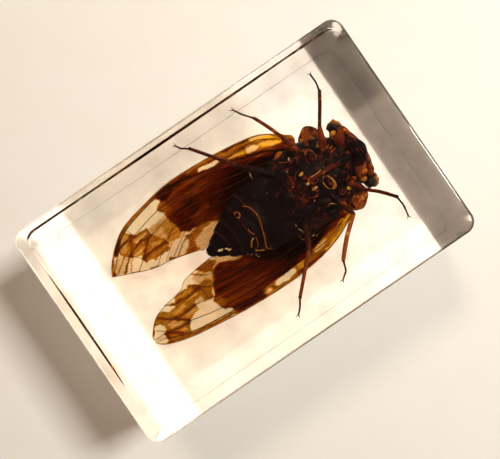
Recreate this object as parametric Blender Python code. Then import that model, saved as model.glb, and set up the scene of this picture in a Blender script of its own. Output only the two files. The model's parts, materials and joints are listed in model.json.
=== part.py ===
"""Insect in resin block: a whole cicada sealed in a clear cast block, in metres with +Z up.

The block lies on its moulded front with its flat poured back up, so the cicada lies on its back,
belly up, with its head towards +X. The origin is the middle of the block's underside. The clear
resin is one casting on the real thing. Here it is parted at the wings into two halves, which close
round the cicada with a small gap.
"""

from math import cos, pi, sin

import bmesh
import bpy
from mathutils import Matrix, Vector

MM = 0.001

# Resin block
BLOCK_LENGTH = 60 * MM
BLOCK_WIDTH = 39 * MM
BLOCK_HEIGHT = 22 * MM
CORNER_RADIUS = 2.2 * MM  # the upright edges, seen from above
BACK_ROUND = 1.3 * MM  # the edge round the poured back, on top
FRONT_ROUND = 0.5 * MM  # the edge round the moulded front, underneath
PARTING_HEIGHT = 9.3 * MM
GAP = 0.3 * MM  # between neighbouring solids
CORNER_STEPS = 4
FRONT_STEPS = 3
BACK_STEPS = 3

# Pocket round the cicada
CLEARANCE = 0.4 * MM
BELLY_CLEARANCE = 1.0 * MM  # leaves room for the beak and the leg bases

# Cicada
AXIS_Y = 0.85 * MM  # its middle line, a little off the block's
RING_POINTS = 16
TAIL_TIP = (-8.0, 0.3, 9.9, 10.7)
# Each section of the body: place along X, half width, back (lower) and belly (upper) heights, in mm.
ABDOMEN = (
    (-6.7, 1.3, 9.0, 11.6),
    (-4.9, 2.5, 8.2, 12.6),
    (-3.1, 3.6, 7.4, 13.4),
    (-1.0, 4.6, 6.9, 14.0),
    (1.3, 5.5, 6.5, 14.3),
    (3.7, 6.1, 6.2, 14.4),
)
SEGMENT_STEP = 0.28  # mm that each abdomen ring stands over the next
SEGMENT_LIP = 0.35  # mm along X that the step takes
THORAX = (
    (5.2, 6.2, 6.0, 14.4),
    (7.6, 6.7, 5.6, 15.0),
    (10.6, 7.0, 5.2, 15.5),
    (13.5, 7.1, 5.2, 15.9),
    (15.6, 6.8, 5.6, 16.0),
    (17.6, 6.0, 6.2, 15.7),
    (19.3, 5.0, 6.9, 15.2),
    (20.4, 4.2, 7.6, 14.6),
)
# Rounded lumps of the body: centre and radii in mm, with Y measured from the middle line.
HEAD = ((21.0, 0.0, 11.6), (2.65, 5.4, 3.4))
FACE = ((21.3, 0.0, 13.2), (2.3, 2.5, 2.5))
EYES = (((21.35, 5.2, 11.2), (1.2, 1.4, 1.4)), ((21.5, -5.25, 11.2), (1.2, 1.4, 1.4)))
COXAE = tuple(
    ((x, side * y, z), radii)
    for x, y, z, radii in (
        (17.3, 2.4, 14.9, (1.3, 1.1, 1.3)),
        (13.7, 2.9, 14.8, (1.6, 1.35, 1.4)),
        (9.8, 2.9, 14.5, (1.6, 1.5, 1.2)),
    )
    for side in (1, -1)
)
OPERCULA = tuple(((4.6, side * 3.1, 13.6), (2.5, 2.2, 1.2)) for side in (1, -1))
BEAK = ((19.8, 15.0), (17.5, 16.0), (12.6, 16.3))  # X and Z of its bends, mm
BEAK_RADII = (0.6, 0.5, 0.25)

# The pronotum's outline from above, with its flared corners, mm
PRONOTUM = (
    (15.3, 3.0), (15.2, 7.6), (16.2, 8.8), (17.4, 9.4), (18.6, 8.7), (19.2, 7.4), (19.4, 5.4), (20.0, 2.5),
    (20.0, -1.0), (20.1, -4.2), (20.1, -5.9), (19.2, -6.9), (18.1, -7.6), (17.2, -7.4), (16.3, -6.6),
    (15.4, -2.0),
)
PRONOTUM_HEIGHTS = (7.4, 9.9)
POCKET_PRONOTUM_HEIGHTS = (7.0, 10.3)

# Legs: the points from hip to foot and the leg's radius at each, mm
LEGS = {
    "fore_left": (
        (17.3, 3.6, 14.2), (18.9, 7.2, 15.0), (20.9, 10.1, 16.0),
        (22.0, 11.8, 16.2), (22.4, 13.4, 15.8), (22.4, 14.9, 15.4),
    ),
    "mid_left": (
        (14.2, 3.5, 14.3), (13.1, 9.4, 14.8), (12.2, 11.5, 16.0),
        (11.1, 14.0, 16.4), (9.8, 15.7, 16.2), (9.0, 17.2, 15.8),
    ),
    "hind_left": (
        (9.6, 4.2, 14.0), (4.4, 9.8, 14.2), (2.8, 12.0, 15.4),
        (-0.1, 15.9, 16.2), (-1.3, 16.8, 16.0), (-1.8, 17.7, 15.6),
    ),
    "fore_right": (
        (17.4, -1.7, 14.2), (19.4, -5.2, 15.0), (21.0, -6.8, 15.8),
        (22.7, -8.9, 16.0), (22.9, -10.6, 15.7), (22.6, -12.5, 15.3),
    ),
    "mid_right": (
        (14.2, -1.8, 14.3), (15.6, -7.3, 14.8), (12.4, -9.9, 15.8),
        (10.0, -12.4, 16.2), (9.4, -14.1, 16.0), (8.2, -15.0, 15.8),
    ),
    "hind_right": (
        (9.6, -2.4, 14.0), (5.0, -9.0, 14.4), (3.3, -11.0, 15.4),
        (1.0, -13.4, 16.0), (0.1, -14.7, 15.8), (-0.8, -15.6, 15.5),
    ),
}
LEG_RADII = (0.75, 0.45, 0.36, 0.34, 0.22, 0.16)
CLAW_LENGTH = 0.55
CLAW_RADII = (0.12, 0.07)
# Radians that each claw turns from the foot's line, and mm that it starts back from the foot's end
CLAWS = ((0.6, 0.1), (-0.66, 0.16))

# Wings: outlines from above, mm. The left wings are on the +Y side.
FOREWINGS = {
    "left": (
        (13.0, 5.0), (15.1, 8.8), (13.7, 10.6), (10.1, 13.0), (5.0, 14.1), (-1.1, 14.6), (-7.2, 14.6),
        (-12.3, 13.7), (-16.9, 12.6), (-19.9, 10.8), (-22.4, 8.3), (-23.4, 6.7), (-20.4, 5.4), (-16.9, 4.0),
        (-13.3, 3.4), (-9.2, 2.3), (-7.8, 1.9), (-3.4, 3.3), (3.0, 3.6),
    ),
    "right": (
        (13.0, -3.4), (15.1, -7.2), (12.1, -9.1), (8.0, -10.3), (1.9, -10.7), (-6.2, -10.4), (-12.3, -9.9),
        (-17.9, -9.1), (-21.9, -7.9), (-23.4, -6.8), (-23.4, -5.3), (-21.4, -3.2), (-18.9, -2.3),
        (-15.3, -1.6), (-13.5, -0.5), (-8.7, 0.1), (-7.2, -0.1), (-5.2, 0.5), (3.0, -1.0),
    ),
}
HINDWINGS = {
    "left": (
        (11.5, 7.4), (8.0, 9.6), (4.0, 10.8), (0.0, 11.8), (-4.0, 12.4), (-7.2, 11.6), (-8.9, 9.8),
        (-8.6, 7.8), (-7.2, 6.0), (-5.0, 4.9), (-1.0, 3.6), (6.0, 3.0),
    ),
    "right": (
        (12.0, -6.2), (8.0, -8.3), (3.0, -9.1), (-2.0, -9.2), (-6.0, -8.8), (-9.0, -7.8), (-10.4, -6.2),
        (-9.8, -4.2), (-8.6, -2.4), (-6.6, -1.6), (-1.0, -2.0), (6.0, -1.6),
    ),
}
# Raised veins of each forewing, from root to margin, mm
VEINS = {
    "left": (
        ((13.5, 9.6), (9.2, 11.5), (2.8, 12.5), (-1.5, 12.9), (-5.0, 13.6), (-9.4, 14.0)),
        ((8.0, 10.4), (2.0, 11.4), (-4.0, 11.6), (-9.7, 11.7), (-16.2, 10.5), (-20.2, 9.6)),
        ((6.0, 8.0), (-2.0, 9.4), (-9.9, 9.4), (-15.2, 8.6), (-19.0, 7.4), (-22.0, 6.5)),
        ((3.0, 6.4), (-4.0, 7.6), (-9.6, 7.8), (-13.2, 6.6), (-17.0, 6.0), (-19.2, 5.0)),
        ((-1.0, 4.8), (-5.4, 6.2), (-9.4, 6.2), (-13.2, 3.7)),
    ),
    "right": (
        ((13.5, -7.6), (9.0, -8.9), (3.0, -9.2), (-2.0, -9.4), (-6.0, -9.6), (-9.4, -9.9)),
        ((8.0, -6.4), (2.0, -7.4), (-4.0, -7.6), (-11.4, -7.9), (-16.5, -6.9), (-21.4, -6.6)),
        ((6.0, -4.4), (-2.0, -5.2), (-11.2, -5.7), (-15.2, -5.1), (-18.4, -5.0), (-20.8, -3.7)),
        ((1.0, -3.4), (-5.0, -3.6), (-10.0, -3.7), (-13.8, -2.7), (-17.0, -2.6)),
    ),
}
FOREWING_HEIGHTS = (8.95, 9.3)
HINDWING_HEIGHTS = (9.15, 9.5)
POCKET_WING_HEIGHTS = (8.4, 10.0)
COSTA_RADIUS = 0.3  # the thick leading edge
COSTA_POINTS = slice(1, 12)  # the points of a forewing's outline that the leading edge passes
VEIN_RADIUS = 0.24
WING_CLEARANCE = 0.75

# Facets
LUMP_SEGMENTS = 12
LUMP_RINGS = 8
WELD = 0.001 * MM
SHARP_ANGLE = pi / 6

# Materials: base colour and roughness
RESIN = ((0.98, 0.97, 0.93), 0.03)
CHITIN = ((0.06, 0.025, 0.012), 0.35)
REFRACTION = 1.5


def clear_scene():
    for thing in list(bpy.data.objects):
        bpy.data.objects.remove(thing)


def new_collection(name):
    collection = bpy.data.collections.new(name)
    bpy.context.scene.collection.children.link(collection)
    return collection


def new_material(name, colour, roughness, transmission=0.0):
    material = bpy.data.materials.new(name)
    material.use_nodes = True
    shader = material.node_tree.nodes["Principled BSDF"]
    shader.inputs["Base Color"].default_value = (*colour, 1)
    shader.inputs["Roughness"].default_value = roughness
    shader.inputs["Transmission Weight"].default_value = transmission
    shader.inputs["IOR"].default_value = REFRACTION
    return material


def place(points):
    """Points in mm, as vectors in metres."""
    return [Vector(point) * MM for point in points]


def finish(name, mesh, collection, material=None):
    """The bmesh as an object in its collection. Without a material it is a helper that no render shows."""
    bmesh.ops.recalc_face_normals(mesh, faces=mesh.faces)
    data = bpy.data.meshes.new(name)
    mesh.to_mesh(data)
    mesh.free()
    made = bpy.data.objects.new(name, data)
    collection.objects.link(made)
    if material:
        data.materials.append(material)
        data.shade_smooth()
        data.set_sharp_from_angle(angle=SHARP_ANGLE)
    else:
        made.hide_render = True
        made.display_type = "WIRE"
    return made


def loft(name, rings, collection, material=None):
    """A closed solid through rings of equally many points, with each end ring filled."""
    mesh = bmesh.new()
    loops = [[mesh.verts.new(point) for point in ring] for ring in rings]
    for low, high in zip(loops, loops[1:]):
        for i in range(len(low)):
            mesh.faces.new((low[i - 1], low[i], high[i], high[i - 1]))
    mesh.faces.new(loops[0])
    mesh.faces.new(loops[-1])
    return finish(name, mesh, collection, material)


def ellipsoid(name, centre, radii, grow, collection):
    """A rounded lump, its Y measured from the cicada's middle line."""
    mesh = bmesh.new()
    bmesh.ops.create_uvsphere(mesh, u_segments=LUMP_SEGMENTS, v_segments=LUMP_RINGS, radius=1)
    bmesh.ops.scale(mesh, vec=[radius * MM + grow for radius in radii], verts=mesh.verts)
    bmesh.ops.translate(mesh, vec=Vector(centre) * MM + Vector((0, AXIS_Y, 0)), verts=mesh.verts)
    return finish(name, mesh, collection)


def mesh_of_curve(curve, collection):
    """The curve object remade as a helper mesh with its caps welded on."""
    bpy.context.view_layer.update()
    evaluated = curve.evaluated_get(bpy.context.evaluated_depsgraph_get())
    data = bpy.data.meshes.new_from_object(evaluated)
    mesh = bmesh.new()
    mesh.from_mesh(data)
    bmesh.ops.remove_doubles(mesh, verts=mesh.verts, dist=WELD)
    name = curve.name
    bpy.data.objects.remove(curve)
    bpy.data.meshes.remove(data)
    return finish(name, mesh, collection)


def tube(name, points, radii, collection, roundness):
    """A bar through points in metres, with its own radius in metres at each. At roundness 0 it is square."""
    curve = bpy.data.curves.new(name, "CURVE")
    curve.dimensions = "3D"
    curve.bevel_depth = 1
    curve.bevel_resolution = roundness
    curve.use_fill_caps = True
    spline = curve.splines.new("POLY")
    spline.points.add(len(points) - 1)
    for spot, point, radius in zip(spline.points, points, radii):
        spot.co = (*point, 1)
        spot.radius = radius
    made = bpy.data.objects.new(name, curve)
    collection.objects.link(made)
    return mesh_of_curve(made, collection)


def plate(name, outline, heights, collection, grow=0.0, steps=2):
    """A flat plate with a smooth outline through points in mm, grown sideways by a margin in metres."""
    curve = bpy.data.curves.new(name, "CURVE")
    curve.dimensions = "2D"
    curve.fill_mode = "BOTH"
    curve.extrude = (heights[1] - heights[0]) / 2 * MM
    curve.offset = grow
    curve.resolution_u = steps
    spline = curve.splines.new("BEZIER")
    spline.bezier_points.add(len(outline) - 1)
    for spot, (x, y) in zip(spline.bezier_points, outline):
        spot.co = (x * MM, y * MM, 0)
        spot.handle_left_type = spot.handle_right_type = "AUTO"
    spline.use_cyclic_u = True
    made = bpy.data.objects.new(name, curve)
    made.location.z = sum(heights) / 2 * MM
    collection.objects.link(made)
    bpy.context.view_layer.update()
    matrix = made.matrix_world.copy()
    remade = mesh_of_curve(made, collection)
    remade.data.transform(matrix)
    return remade


def join(target, collection, operation):
    """Adds or cuts every solid of the collection in one Boolean."""
    boolean = target.modifiers.new(operation.lower(), "BOOLEAN")
    boolean.operation = operation
    boolean.operand_type = "COLLECTION"
    boolean.collection = collection
    boolean.solver = "EXACT"


def quarter(steps):
    """Angles from 0 to a right angle."""
    return [pi / 2 * i / steps for i in range(steps + 1)]


def rounded_rectangle(inset, radius, height):
    """The block's outline at one height, drawn in from its full size by the inset."""
    half_x = BLOCK_LENGTH / 2 - inset - radius
    half_y = BLOCK_WIDTH / 2 - inset - radius
    corners = ((half_x, half_y), (-half_x, half_y), (-half_x, -half_y), (half_x, -half_y))
    return [
        Vector((x + radius * cos(turn * pi / 2 + angle), y + radius * sin(turn * pi / 2 + angle), height))
        for turn, (x, y) in enumerate(corners)
        for angle in quarter(CORNER_STEPS)
    ]


def front_rings():
    """The block's outline from the flat it rests on to the end of the front's round."""
    return [
        rounded_rectangle(
            FRONT_ROUND * (1 - sin(angle)),
            CORNER_RADIUS - FRONT_ROUND * (1 - sin(angle)),
            FRONT_ROUND * (1 - cos(angle)),
        )
        for angle in quarter(FRONT_STEPS)
    ]


def back_rings():
    """The block's outline from the start of the back's round to the flat back."""
    return [
        rounded_rectangle(
            BACK_ROUND * (1 - cos(angle)),
            CORNER_RADIUS - BACK_ROUND * (1 - cos(angle)),
            BLOCK_HEIGHT - BACK_ROUND * (1 - sin(angle)),
        )
        for angle in quarter(BACK_STEPS)
    ]


def resin_halves(pocket, collection, material):
    """The clear block, parted at the wings, with the cicada's pocket cut in both halves."""
    lower_top = rounded_rectangle(0, CORNER_RADIUS, PARTING_HEIGHT - GAP / 2)
    upper_bottom = rounded_rectangle(0, CORNER_RADIUS, PARTING_HEIGHT + GAP / 2)
    halves = (
        loft("resin_lower_half", front_rings() + [lower_top], collection, material),
        loft("resin_upper_half", [upper_bottom] + back_rings(), collection, material),
    )
    for half in halves:
        join(half, pocket, "DIFFERENCE")


def body_ring(section, grow, belly_grow):
    """One section of the trunk: an oval with its widest line half way up."""
    x, half_width, back, belly = section
    low, high = back * MM - grow, belly * MM + belly_grow
    return [
        Vector((
            x * MM,
            AXIS_Y + (half_width * MM + grow) * cos(angle),
            (low + high) / 2 + (high - low) / 2 * sin(angle),
        ))
        for angle in (2 * pi * i / RING_POINTS for i in range(RING_POINTS))
    ]


def stepped_abdomen():
    """The abdomen's sections with a small step at each, where one ring ends over the next."""
    sections = [TAIL_TIP]
    for x, half_width, back, belly in ABDOMEN:
        step = SEGMENT_STEP
        sections.append((x - SEGMENT_LIP, half_width - step, back + step, belly - step))
        sections.append((x, half_width, back, belly))
    return sections


def body(collection, material, grow=0.0, belly_grow=0.0):
    """Abdomen and thorax, from the tail's tip to the neck."""
    sections = [TAIL_TIP, *ABDOMEN, *THORAX] if grow else [*stepped_abdomen(), *THORAX]
    rings = [body_ring(section, grow, belly_grow) for section in sections]
    for point in rings[0]:
        point.x -= grow
    return loft("cicada" if material else "pocket_body", rings, collection, material)


def head(collection, grow):
    ellipsoid("head", *HEAD, grow, collection)
    ellipsoid("face", *FACE, grow, collection)
    for i, eye in enumerate(EYES):
        ellipsoid(f"eye_{i}", *eye, grow, collection)


def belly_lumps(collection, grow):
    """The leg bases and the two covers over the singing organs."""
    for i, lump in enumerate(COXAE + OPERCULA):
        ellipsoid(f"lump_{i}", *lump, grow, collection)


def beak(collection):
    points = [Vector((x * MM, AXIS_Y, z * MM)) for x, z in BEAK]
    tube("beak", points, [radius * MM for radius in BEAK_RADII], collection, 2)


def legs(collection, grow):
    """Six jointed legs. In the pocket each foot runs on to where its claws end."""
    for name, route in LEGS.items():
        points = place(route)
        radii = [radius * MM + grow for radius in LEG_RADII]
        foot = (points[-1] - points[-2]).normalized()
        if grow:
            points[-1] = points[-1] + foot * CLAW_LENGTH * MM
        else:
            for i, (turn, root) in enumerate(CLAWS):
                along = Matrix.Rotation(turn, 3, "Z") @ foot * MM
                ends = (points[-1] - along * root, points[-1] + along * CLAW_LENGTH)
                tube(f"claw_{name}_{i}", ends, [radius * MM for radius in CLAW_RADII], collection, 0)
        tube(f"leg_{name}", points, radii, collection, 1)


def wings(collection):
    """Two forewings with a thick leading edge and raised veins, and two hindwings against them."""
    middle = sum(FOREWING_HEIGHTS) / 2
    for side, outline in FOREWINGS.items():
        plate(f"forewing_{side}", outline, FOREWING_HEIGHTS, collection)
        plate(f"hindwing_{side}", HINDWINGS[side], HINDWING_HEIGHTS, collection)
        edge = place((x, y, middle) for x, y in outline[COSTA_POINTS])
        tube(f"costa_{side}", edge, [COSTA_RADIUS * MM] * len(edge), collection, 1)
        for i, vein in enumerate(VEINS[side]):
            route = place((x, y, middle) for x, y in vein)
            tube(f"vein_{side}_{i}", route, [VEIN_RADIUS * MM] * len(route), collection, 0)


def cicada(collection, helpers, material):
    head(helpers, 0)
    belly_lumps(helpers, 0)
    beak(helpers)
    plate("pronotum", PRONOTUM, PRONOTUM_HEIGHTS, helpers)
    legs(helpers, 0)
    wings(helpers)
    join(body(collection, material), helpers, "UNION")


def pocket(helpers):
    """The hollow that the cicada fills, a little larger than it all round."""
    body(helpers, None, CLEARANCE, BELLY_CLEARANCE)
    head(helpers, CLEARANCE)
    belly_lumps(helpers, CLEARANCE)
    plate("pocket_pronotum", PRONOTUM, POCKET_PRONOTUM_HEIGHTS, helpers, grow=CLEARANCE, steps=1)
    legs(helpers, CLEARANCE)
    for side, outline in FOREWINGS.items():
        plate(f"pocket_{side}", outline, POCKET_WING_HEIGHTS, helpers, grow=WING_CLEARANCE * MM, steps=1)


def main():
    clear_scene()
    parts = new_collection("insect_in_resin_block")
    cicada_shapes = new_collection("cicada_shapes")
    pocket_shapes = new_collection("pocket_shapes")
    resin = new_material("clear_resin", *RESIN, transmission=1.0)
    chitin = new_material("cicada_shell", *CHITIN)
    cicada(parts, cicada_shapes, chitin)
    pocket(pocket_shapes)
    resin_halves(pocket_shapes, parts, resin)


main()
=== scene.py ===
import json
from math import cos, exp, pi, radians, sin, sqrt

import bmesh
import bpy
import numpy as np
from bpy.props import FloatProperty, FloatVectorProperty, PointerProperty
from mathutils import Matrix, Vector, noise

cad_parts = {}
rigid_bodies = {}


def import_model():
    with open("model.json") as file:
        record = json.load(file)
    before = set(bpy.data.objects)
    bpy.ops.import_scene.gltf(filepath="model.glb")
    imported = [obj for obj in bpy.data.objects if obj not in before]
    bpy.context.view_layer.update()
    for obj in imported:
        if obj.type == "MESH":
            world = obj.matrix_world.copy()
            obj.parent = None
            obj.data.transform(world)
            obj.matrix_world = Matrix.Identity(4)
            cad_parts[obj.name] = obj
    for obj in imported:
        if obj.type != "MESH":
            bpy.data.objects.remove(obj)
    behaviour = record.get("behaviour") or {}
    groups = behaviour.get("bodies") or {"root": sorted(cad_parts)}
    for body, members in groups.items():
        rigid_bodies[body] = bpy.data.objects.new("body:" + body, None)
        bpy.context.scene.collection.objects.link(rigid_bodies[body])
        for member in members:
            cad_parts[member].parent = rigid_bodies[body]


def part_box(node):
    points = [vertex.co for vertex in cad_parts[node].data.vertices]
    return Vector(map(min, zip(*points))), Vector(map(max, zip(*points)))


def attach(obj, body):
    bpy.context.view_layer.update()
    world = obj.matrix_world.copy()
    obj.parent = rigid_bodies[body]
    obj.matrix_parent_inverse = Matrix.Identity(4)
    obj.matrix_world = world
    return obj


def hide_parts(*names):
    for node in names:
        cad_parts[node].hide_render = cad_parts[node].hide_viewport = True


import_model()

bl_info = {
    "name": "Insect in Resin Block",
    "version": (1, 0, 0),
    "blender": (4, 5, 0),
    "location": "3D View > Sidebar > Resin",
    "description": "A cicada sealed in a clear cast block, with its table and light",
    "category": "Add Mesh",
}

MM = 0.001
WELD = 0.0004 * MM  # points closer than this become one
SHARP = radians(35)  # edges bent more than this are shaded sharp

# The block and the cicada lie in the frame of the part: head towards +X, belly up. The block's corners are in
# metres. All sizes and places below them are in mm, unless their comment says otherwise.
BLOCK_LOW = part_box("resin_lower_half")[0]
BLOCK_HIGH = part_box("resin_upper_half")[1]
AXIS_Y = 0.85  # the cicada's middle line

# Block: how finely its rounds and sides are stepped, and the seam between its two pours
CORNER_STEPS, SIDE_STEPS, FRONT_STEPS, BACK_STEPS, SEAM_STEPS = 14, 12, 8, 18, 20
LIP = 0.06  # width of the narrow strip beside each round
SEAM_AT_SIDE, SEAM_AT_TAIL = 3.0, 1.9  # how many times the seam's depth it is cut there
SEAM_TAIL_Y, SEAM_TAIL_HALF = 1.6, 12.5  # the middle of the seam beyond the tail, and half its length
SEAM_SPREAD = 0.45  # how far its width at the sides and at the ends departs from the mean
EDGE_SHADE_MEAN, EDGE_SHADE_SWING = 0.75, 0.25  # painted shade on the back's round edge: its mean strength, and how far that varies round it

# Trunk: place along X, half width, back (lower) and belly (upper) heights. The abdomen's rows come first.
TRUNK = (
    (-8.0, 0.02, 10.3, 10.32),
    (-7.75, 0.55, 9.8, 10.9),
    (-6.7, 1.3, 9.0, 11.6),
    (-4.9, 2.5, 8.2, 12.6),
    (-3.1, 3.6, 7.4, 13.4),
    (-1.0, 4.6, 6.9, 14.0),
    (1.3, 5.5, 6.5, 14.3),
    (3.7, 6.1, 6.2, 14.4),
    (7.6, 6.7, 5.6, 15.0),
    (10.6, 7.0, 5.2, 15.5),
    (13.5, 7.0, 5.2, 15.7),
    (15.6, 6.6, 5.6, 15.6),
    (17.6, 5.8, 6.2, 15.2),
    (19.3, 4.8, 6.9, 14.8),
    (20.6, 3.8, 7.8, 14.2),
    (21.0, 0.02, 11.0, 11.02),
)
TRUNK_STEPS, TRUNK_SIDES = 16, 72  # steps for each row, and round the trunk
FIRST_RING, LAST_RING = 2, 7  # the rows where one abdomen ring ends over the next
RING_STEP, RING_SINK = 0.26, 0.06  # each ring's rise at its end, and how far all of it is sunk
RING_CURL = 1.4  # how suddenly it rises
RING_BOW = 0.9  # how far the belly side of each ring leans towards the head
BREAST_ROW = 8.6  # where the breast's shell is a little browner
DENTS = 0.1  # depth of the uneven dents
FURROW, FURROW_WIDTH = 0.16, 0.5  # the furrow along the belly

# Pads of shell on the belly side: centre X, Y; radii along, across, up; turn in degrees; tone of the middle
# and of the rim; sink in mm
PADS = (
    # leg bases
    (17.3, 3.0, 1.4, 0.9, 0.8, 35, 0.14, 0.4, 0.3), (17.5, -1.2, 1.4, 0.8, 0.8, -35, 0.12, 0.36, 0.3),
    (15.0, 3.95, 0.95, 1.7, 0.9, -6, 0.16, 0.62, 0.3), (15.05, -0.9, 0.85, 1.45, 0.8, 8, 0.12, 0.56, 0.3),
    (12.6, 4.6, 1.2, 1.0, 0.8, 20, 0.1, 0.34, 0.3), (12.7, -3.0, 1.3, 1.0, 0.8, -20, 0.1, 0.3, 0.3),
    (9.7, 3.9, 1.9, 1.5, 0.6, 20, 0.08, 0.2, 0.34), (9.7, -2.3, 1.9, 1.5, 0.6, -20, 0.04, 0.14, 0.34),
    # covers over the singing organs
    (5.3, 4.2, 2.7, 2.3, 0.5, 12, 0.06, 0.14, 0.36), (5.3, -2.5, 2.7, 2.3, 0.5, -12, 0.02, 0.08, 0.36),
    # plates of the breast between the legs
    (11.2, 0.85, 1.2, 0.8, 0.6, 0, 0.12, 0.34, 0.3), (8.3, 0.85, 1.4, 0.9, 0.5, 0, 0.06, 0.2, 0.25),
    (13.4, 0.85, 1.0, 0.9, 0.5, 0, 0.2, 0.45, 0.25), (18.6, 0.85, 1.1, 1.5, 0.7, 0, 0.05, 0.12, 0.3),
    # small plates along the flanks
    (17.2, 5.05, 0.85, 0.36, 0.4, 45, 0.62, 0.72, 0.1), (18.5, 5.2, 0.8, 0.4, 0.4, 60, 0.36, 0.46, 0.1),
    (16.2, 6.3, 0.7, 0.5, 0.4, 30, 0.2, 0.46, 0.1), (15.7, 6.1, 0.9, 0.35, 0.4, 70, 0.34, 0.56, 0.1),
    (13.6, 6.2, 1.1, 0.5, 0.5, 60, 0.14, 0.44, 0.15), (12.1, 6.6, 1.0, 0.5, 0.5, 35, 0.12, 0.4, 0.15),
    (12.25, 2.65, 0.5, 0.3, 0.3, 8, 0.7, 0.6, 0.05), (12.25, 0.75, 0.3, 0.22, 0.25, 0, 0.82, 0.7, 0.0),
    (12.7, -0.46, 0.55, 0.2, 0.25, 0, 0.66, 0.6, 0.0), (16.0, -3.2, 0.9, 0.5, 0.5, -40, 0.24, 0.46, 0.15),
    (16.6, 1.9, 0.8, 0.5, 0.4, 20, 0.18, 0.4, 0.15), (17.45, -3.3, 0.46, 0.46, 0.36, 0, 1.1, 1.0, 0.0),
    (18.6, -2.5, 0.9, 0.4, 0.4, -25, 0.3, 0.5, 0.1), (15.2, -4.6, 1.3, 0.7, 0.5, -35, 0.14, 0.4, 0.15),
    (12.6, -5.1, 1.5, 0.8, 0.6, -25, 0.06, 0.2, 0.2), (11.0, 7.4, 1.0, 0.5, 0.5, 20, 0.5, 0.56, 0.1),
    (9.0, -5.6, 1.3, 0.8, 0.5, -20, 0.06, 0.2, 0.2), (8.0, 6.3, 1.6, 0.8, 0.5, 18, 0.06, 0.2, 0.2),
)
# Pale flecks of trapped air and dried skin, their paleness partly a painted glint: centre X, Y; half length;
# turn in degrees; tone
FLECKS_AND_GLINTS = (
    (12.0, 5.9, 0.3, 60, 0.92), (12.3, 5.6, 0.2, 20, 0.86), (13.7, 7.4, 0.2, 70, 0.9),
    (17.3, 6.6, 0.3, 10, 0.9), (10.55, 4.3, 0.16, 40, 0.84), (8.4, -6.6, 0.24, 15, 0.92),
    (8.85, -6.9, 0.16, 60, 0.86), (11.6, -2.05, 0.16, 70, 0.88), (10.0, 1.7, 0.2, 5, 0.56),
    (6.0, 3.3, 0.12, 0, 0.7), (-5.6, 0.05, 0.5, -15, 0.8), (-4.6, -0.35, 0.34, -35, 0.84),
    (-4.3, -0.75, 0.34, -8, 0.76), (-2.3, -2.95, 0.14, 45, 0.86), (-1.9, -3.4, 0.13, 20, 0.86),
    (-1.3, -3.9, 0.14, 45, 0.88), (-1.1, -4.3, 0.16, -30, 0.9), (-3.6, -2.6, 0.3, -38, 0.66),
)
RIDGE_RISE, FLECK_RISE = 0.34, 0.1  # how far above the trunk they lie
FLECK_WIDTH, FLECK_HEIGHT = 0.45, 0.14  # half width as a share of the half length, and half height
# Thin raised lines on the belly side: radius, tone, then points X, Y
RIDGES = (
    (0.09, 0.52, (1.5, 3.85), (2.3, 3.1), (2.7, 1.6), (2.6, 0.5), (2.1, -1.0), (1.6, -2.4), (0.95, -3.7),
        (1.1, -4.2), (1.9, -4.7)),
    (0.1, 0.5, (-0.35, 3.4), (0.1, 3.7), (0.45, 3.1), (0.1, 2.6), (-0.3, 2.9)),
    (0.08, 0.52, (0.2, 0.3), (0.25, -0.5), (0.6, -1.1)),
    (0.1, 0.66, (0.1, -1.4), (-0.5, -1.7), (-1.1, -2.5)),
    (0.08, 0.6, (-0.9, -3.2), (-0.3, -3.6), (0.4, -4.0)),
    (0.13, 0.4, (0.5, -1.5), (0.1, -2.6), (-0.4, -3.1)), (0.07, 0.78, (5.5, 8.0), (5.35, 7.2), (5.45, 6.2)),
    (0.07, 0.78, (6.9, -3.5), (6.95, -4.3), (7.3, -5.1), (7.45, -6.0)),
    (0.07, 0.56, (6.4, -5.2), (6.5, -6.1), (7.2, -6.5), (8.0, -6.2), (7.6, -5.4)),
    (0.08, 0.64, (15.5, 0.1), (15.85, -0.7), (15.95, -1.6), (15.5, -2.2), (14.8, -1.9), (14.35, -1.2),
        (14.3, -0.4)),
    (0.08, 0.7, (13.15, -3.55), (14.2, -4.4), (15.0, -5.1)),
    (0.09, 0.66, (13.1, 1.35), (14.2, 1.3), (15.2, 1.4)),
    (0.08, 0.46, (17.0, 4.1), (17.9, 3.9), (18.7, 4.2)),
    (0.08, 0.44, (17.2, 3.6), (18.1, 3.4), (19.0, 3.7)),
    (0.08, 0.42, (17.6, 3.1), (18.4, 2.9), (19.2, 3.1)),
    (0.08, 0.6, (14.3, 5.5), (15.0, 5.75), (15.7, 5.3)),
    (0.07, 0.44, (10.3, 6.4), (11.3, 5.7), (12.4, 5.4)),
    (0.07, 0.4, (16.6, -4.4), (17.3, -4.0), (18.0, -3.7)),
    (0.06, 0.36, (10.9, -0.9), (11.6, -1.5), (12.4, -1.7)),
    (0.06, 0.36, (10.9, 2.6), (11.6, 3.2), (12.4, 3.4)),
)

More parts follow.
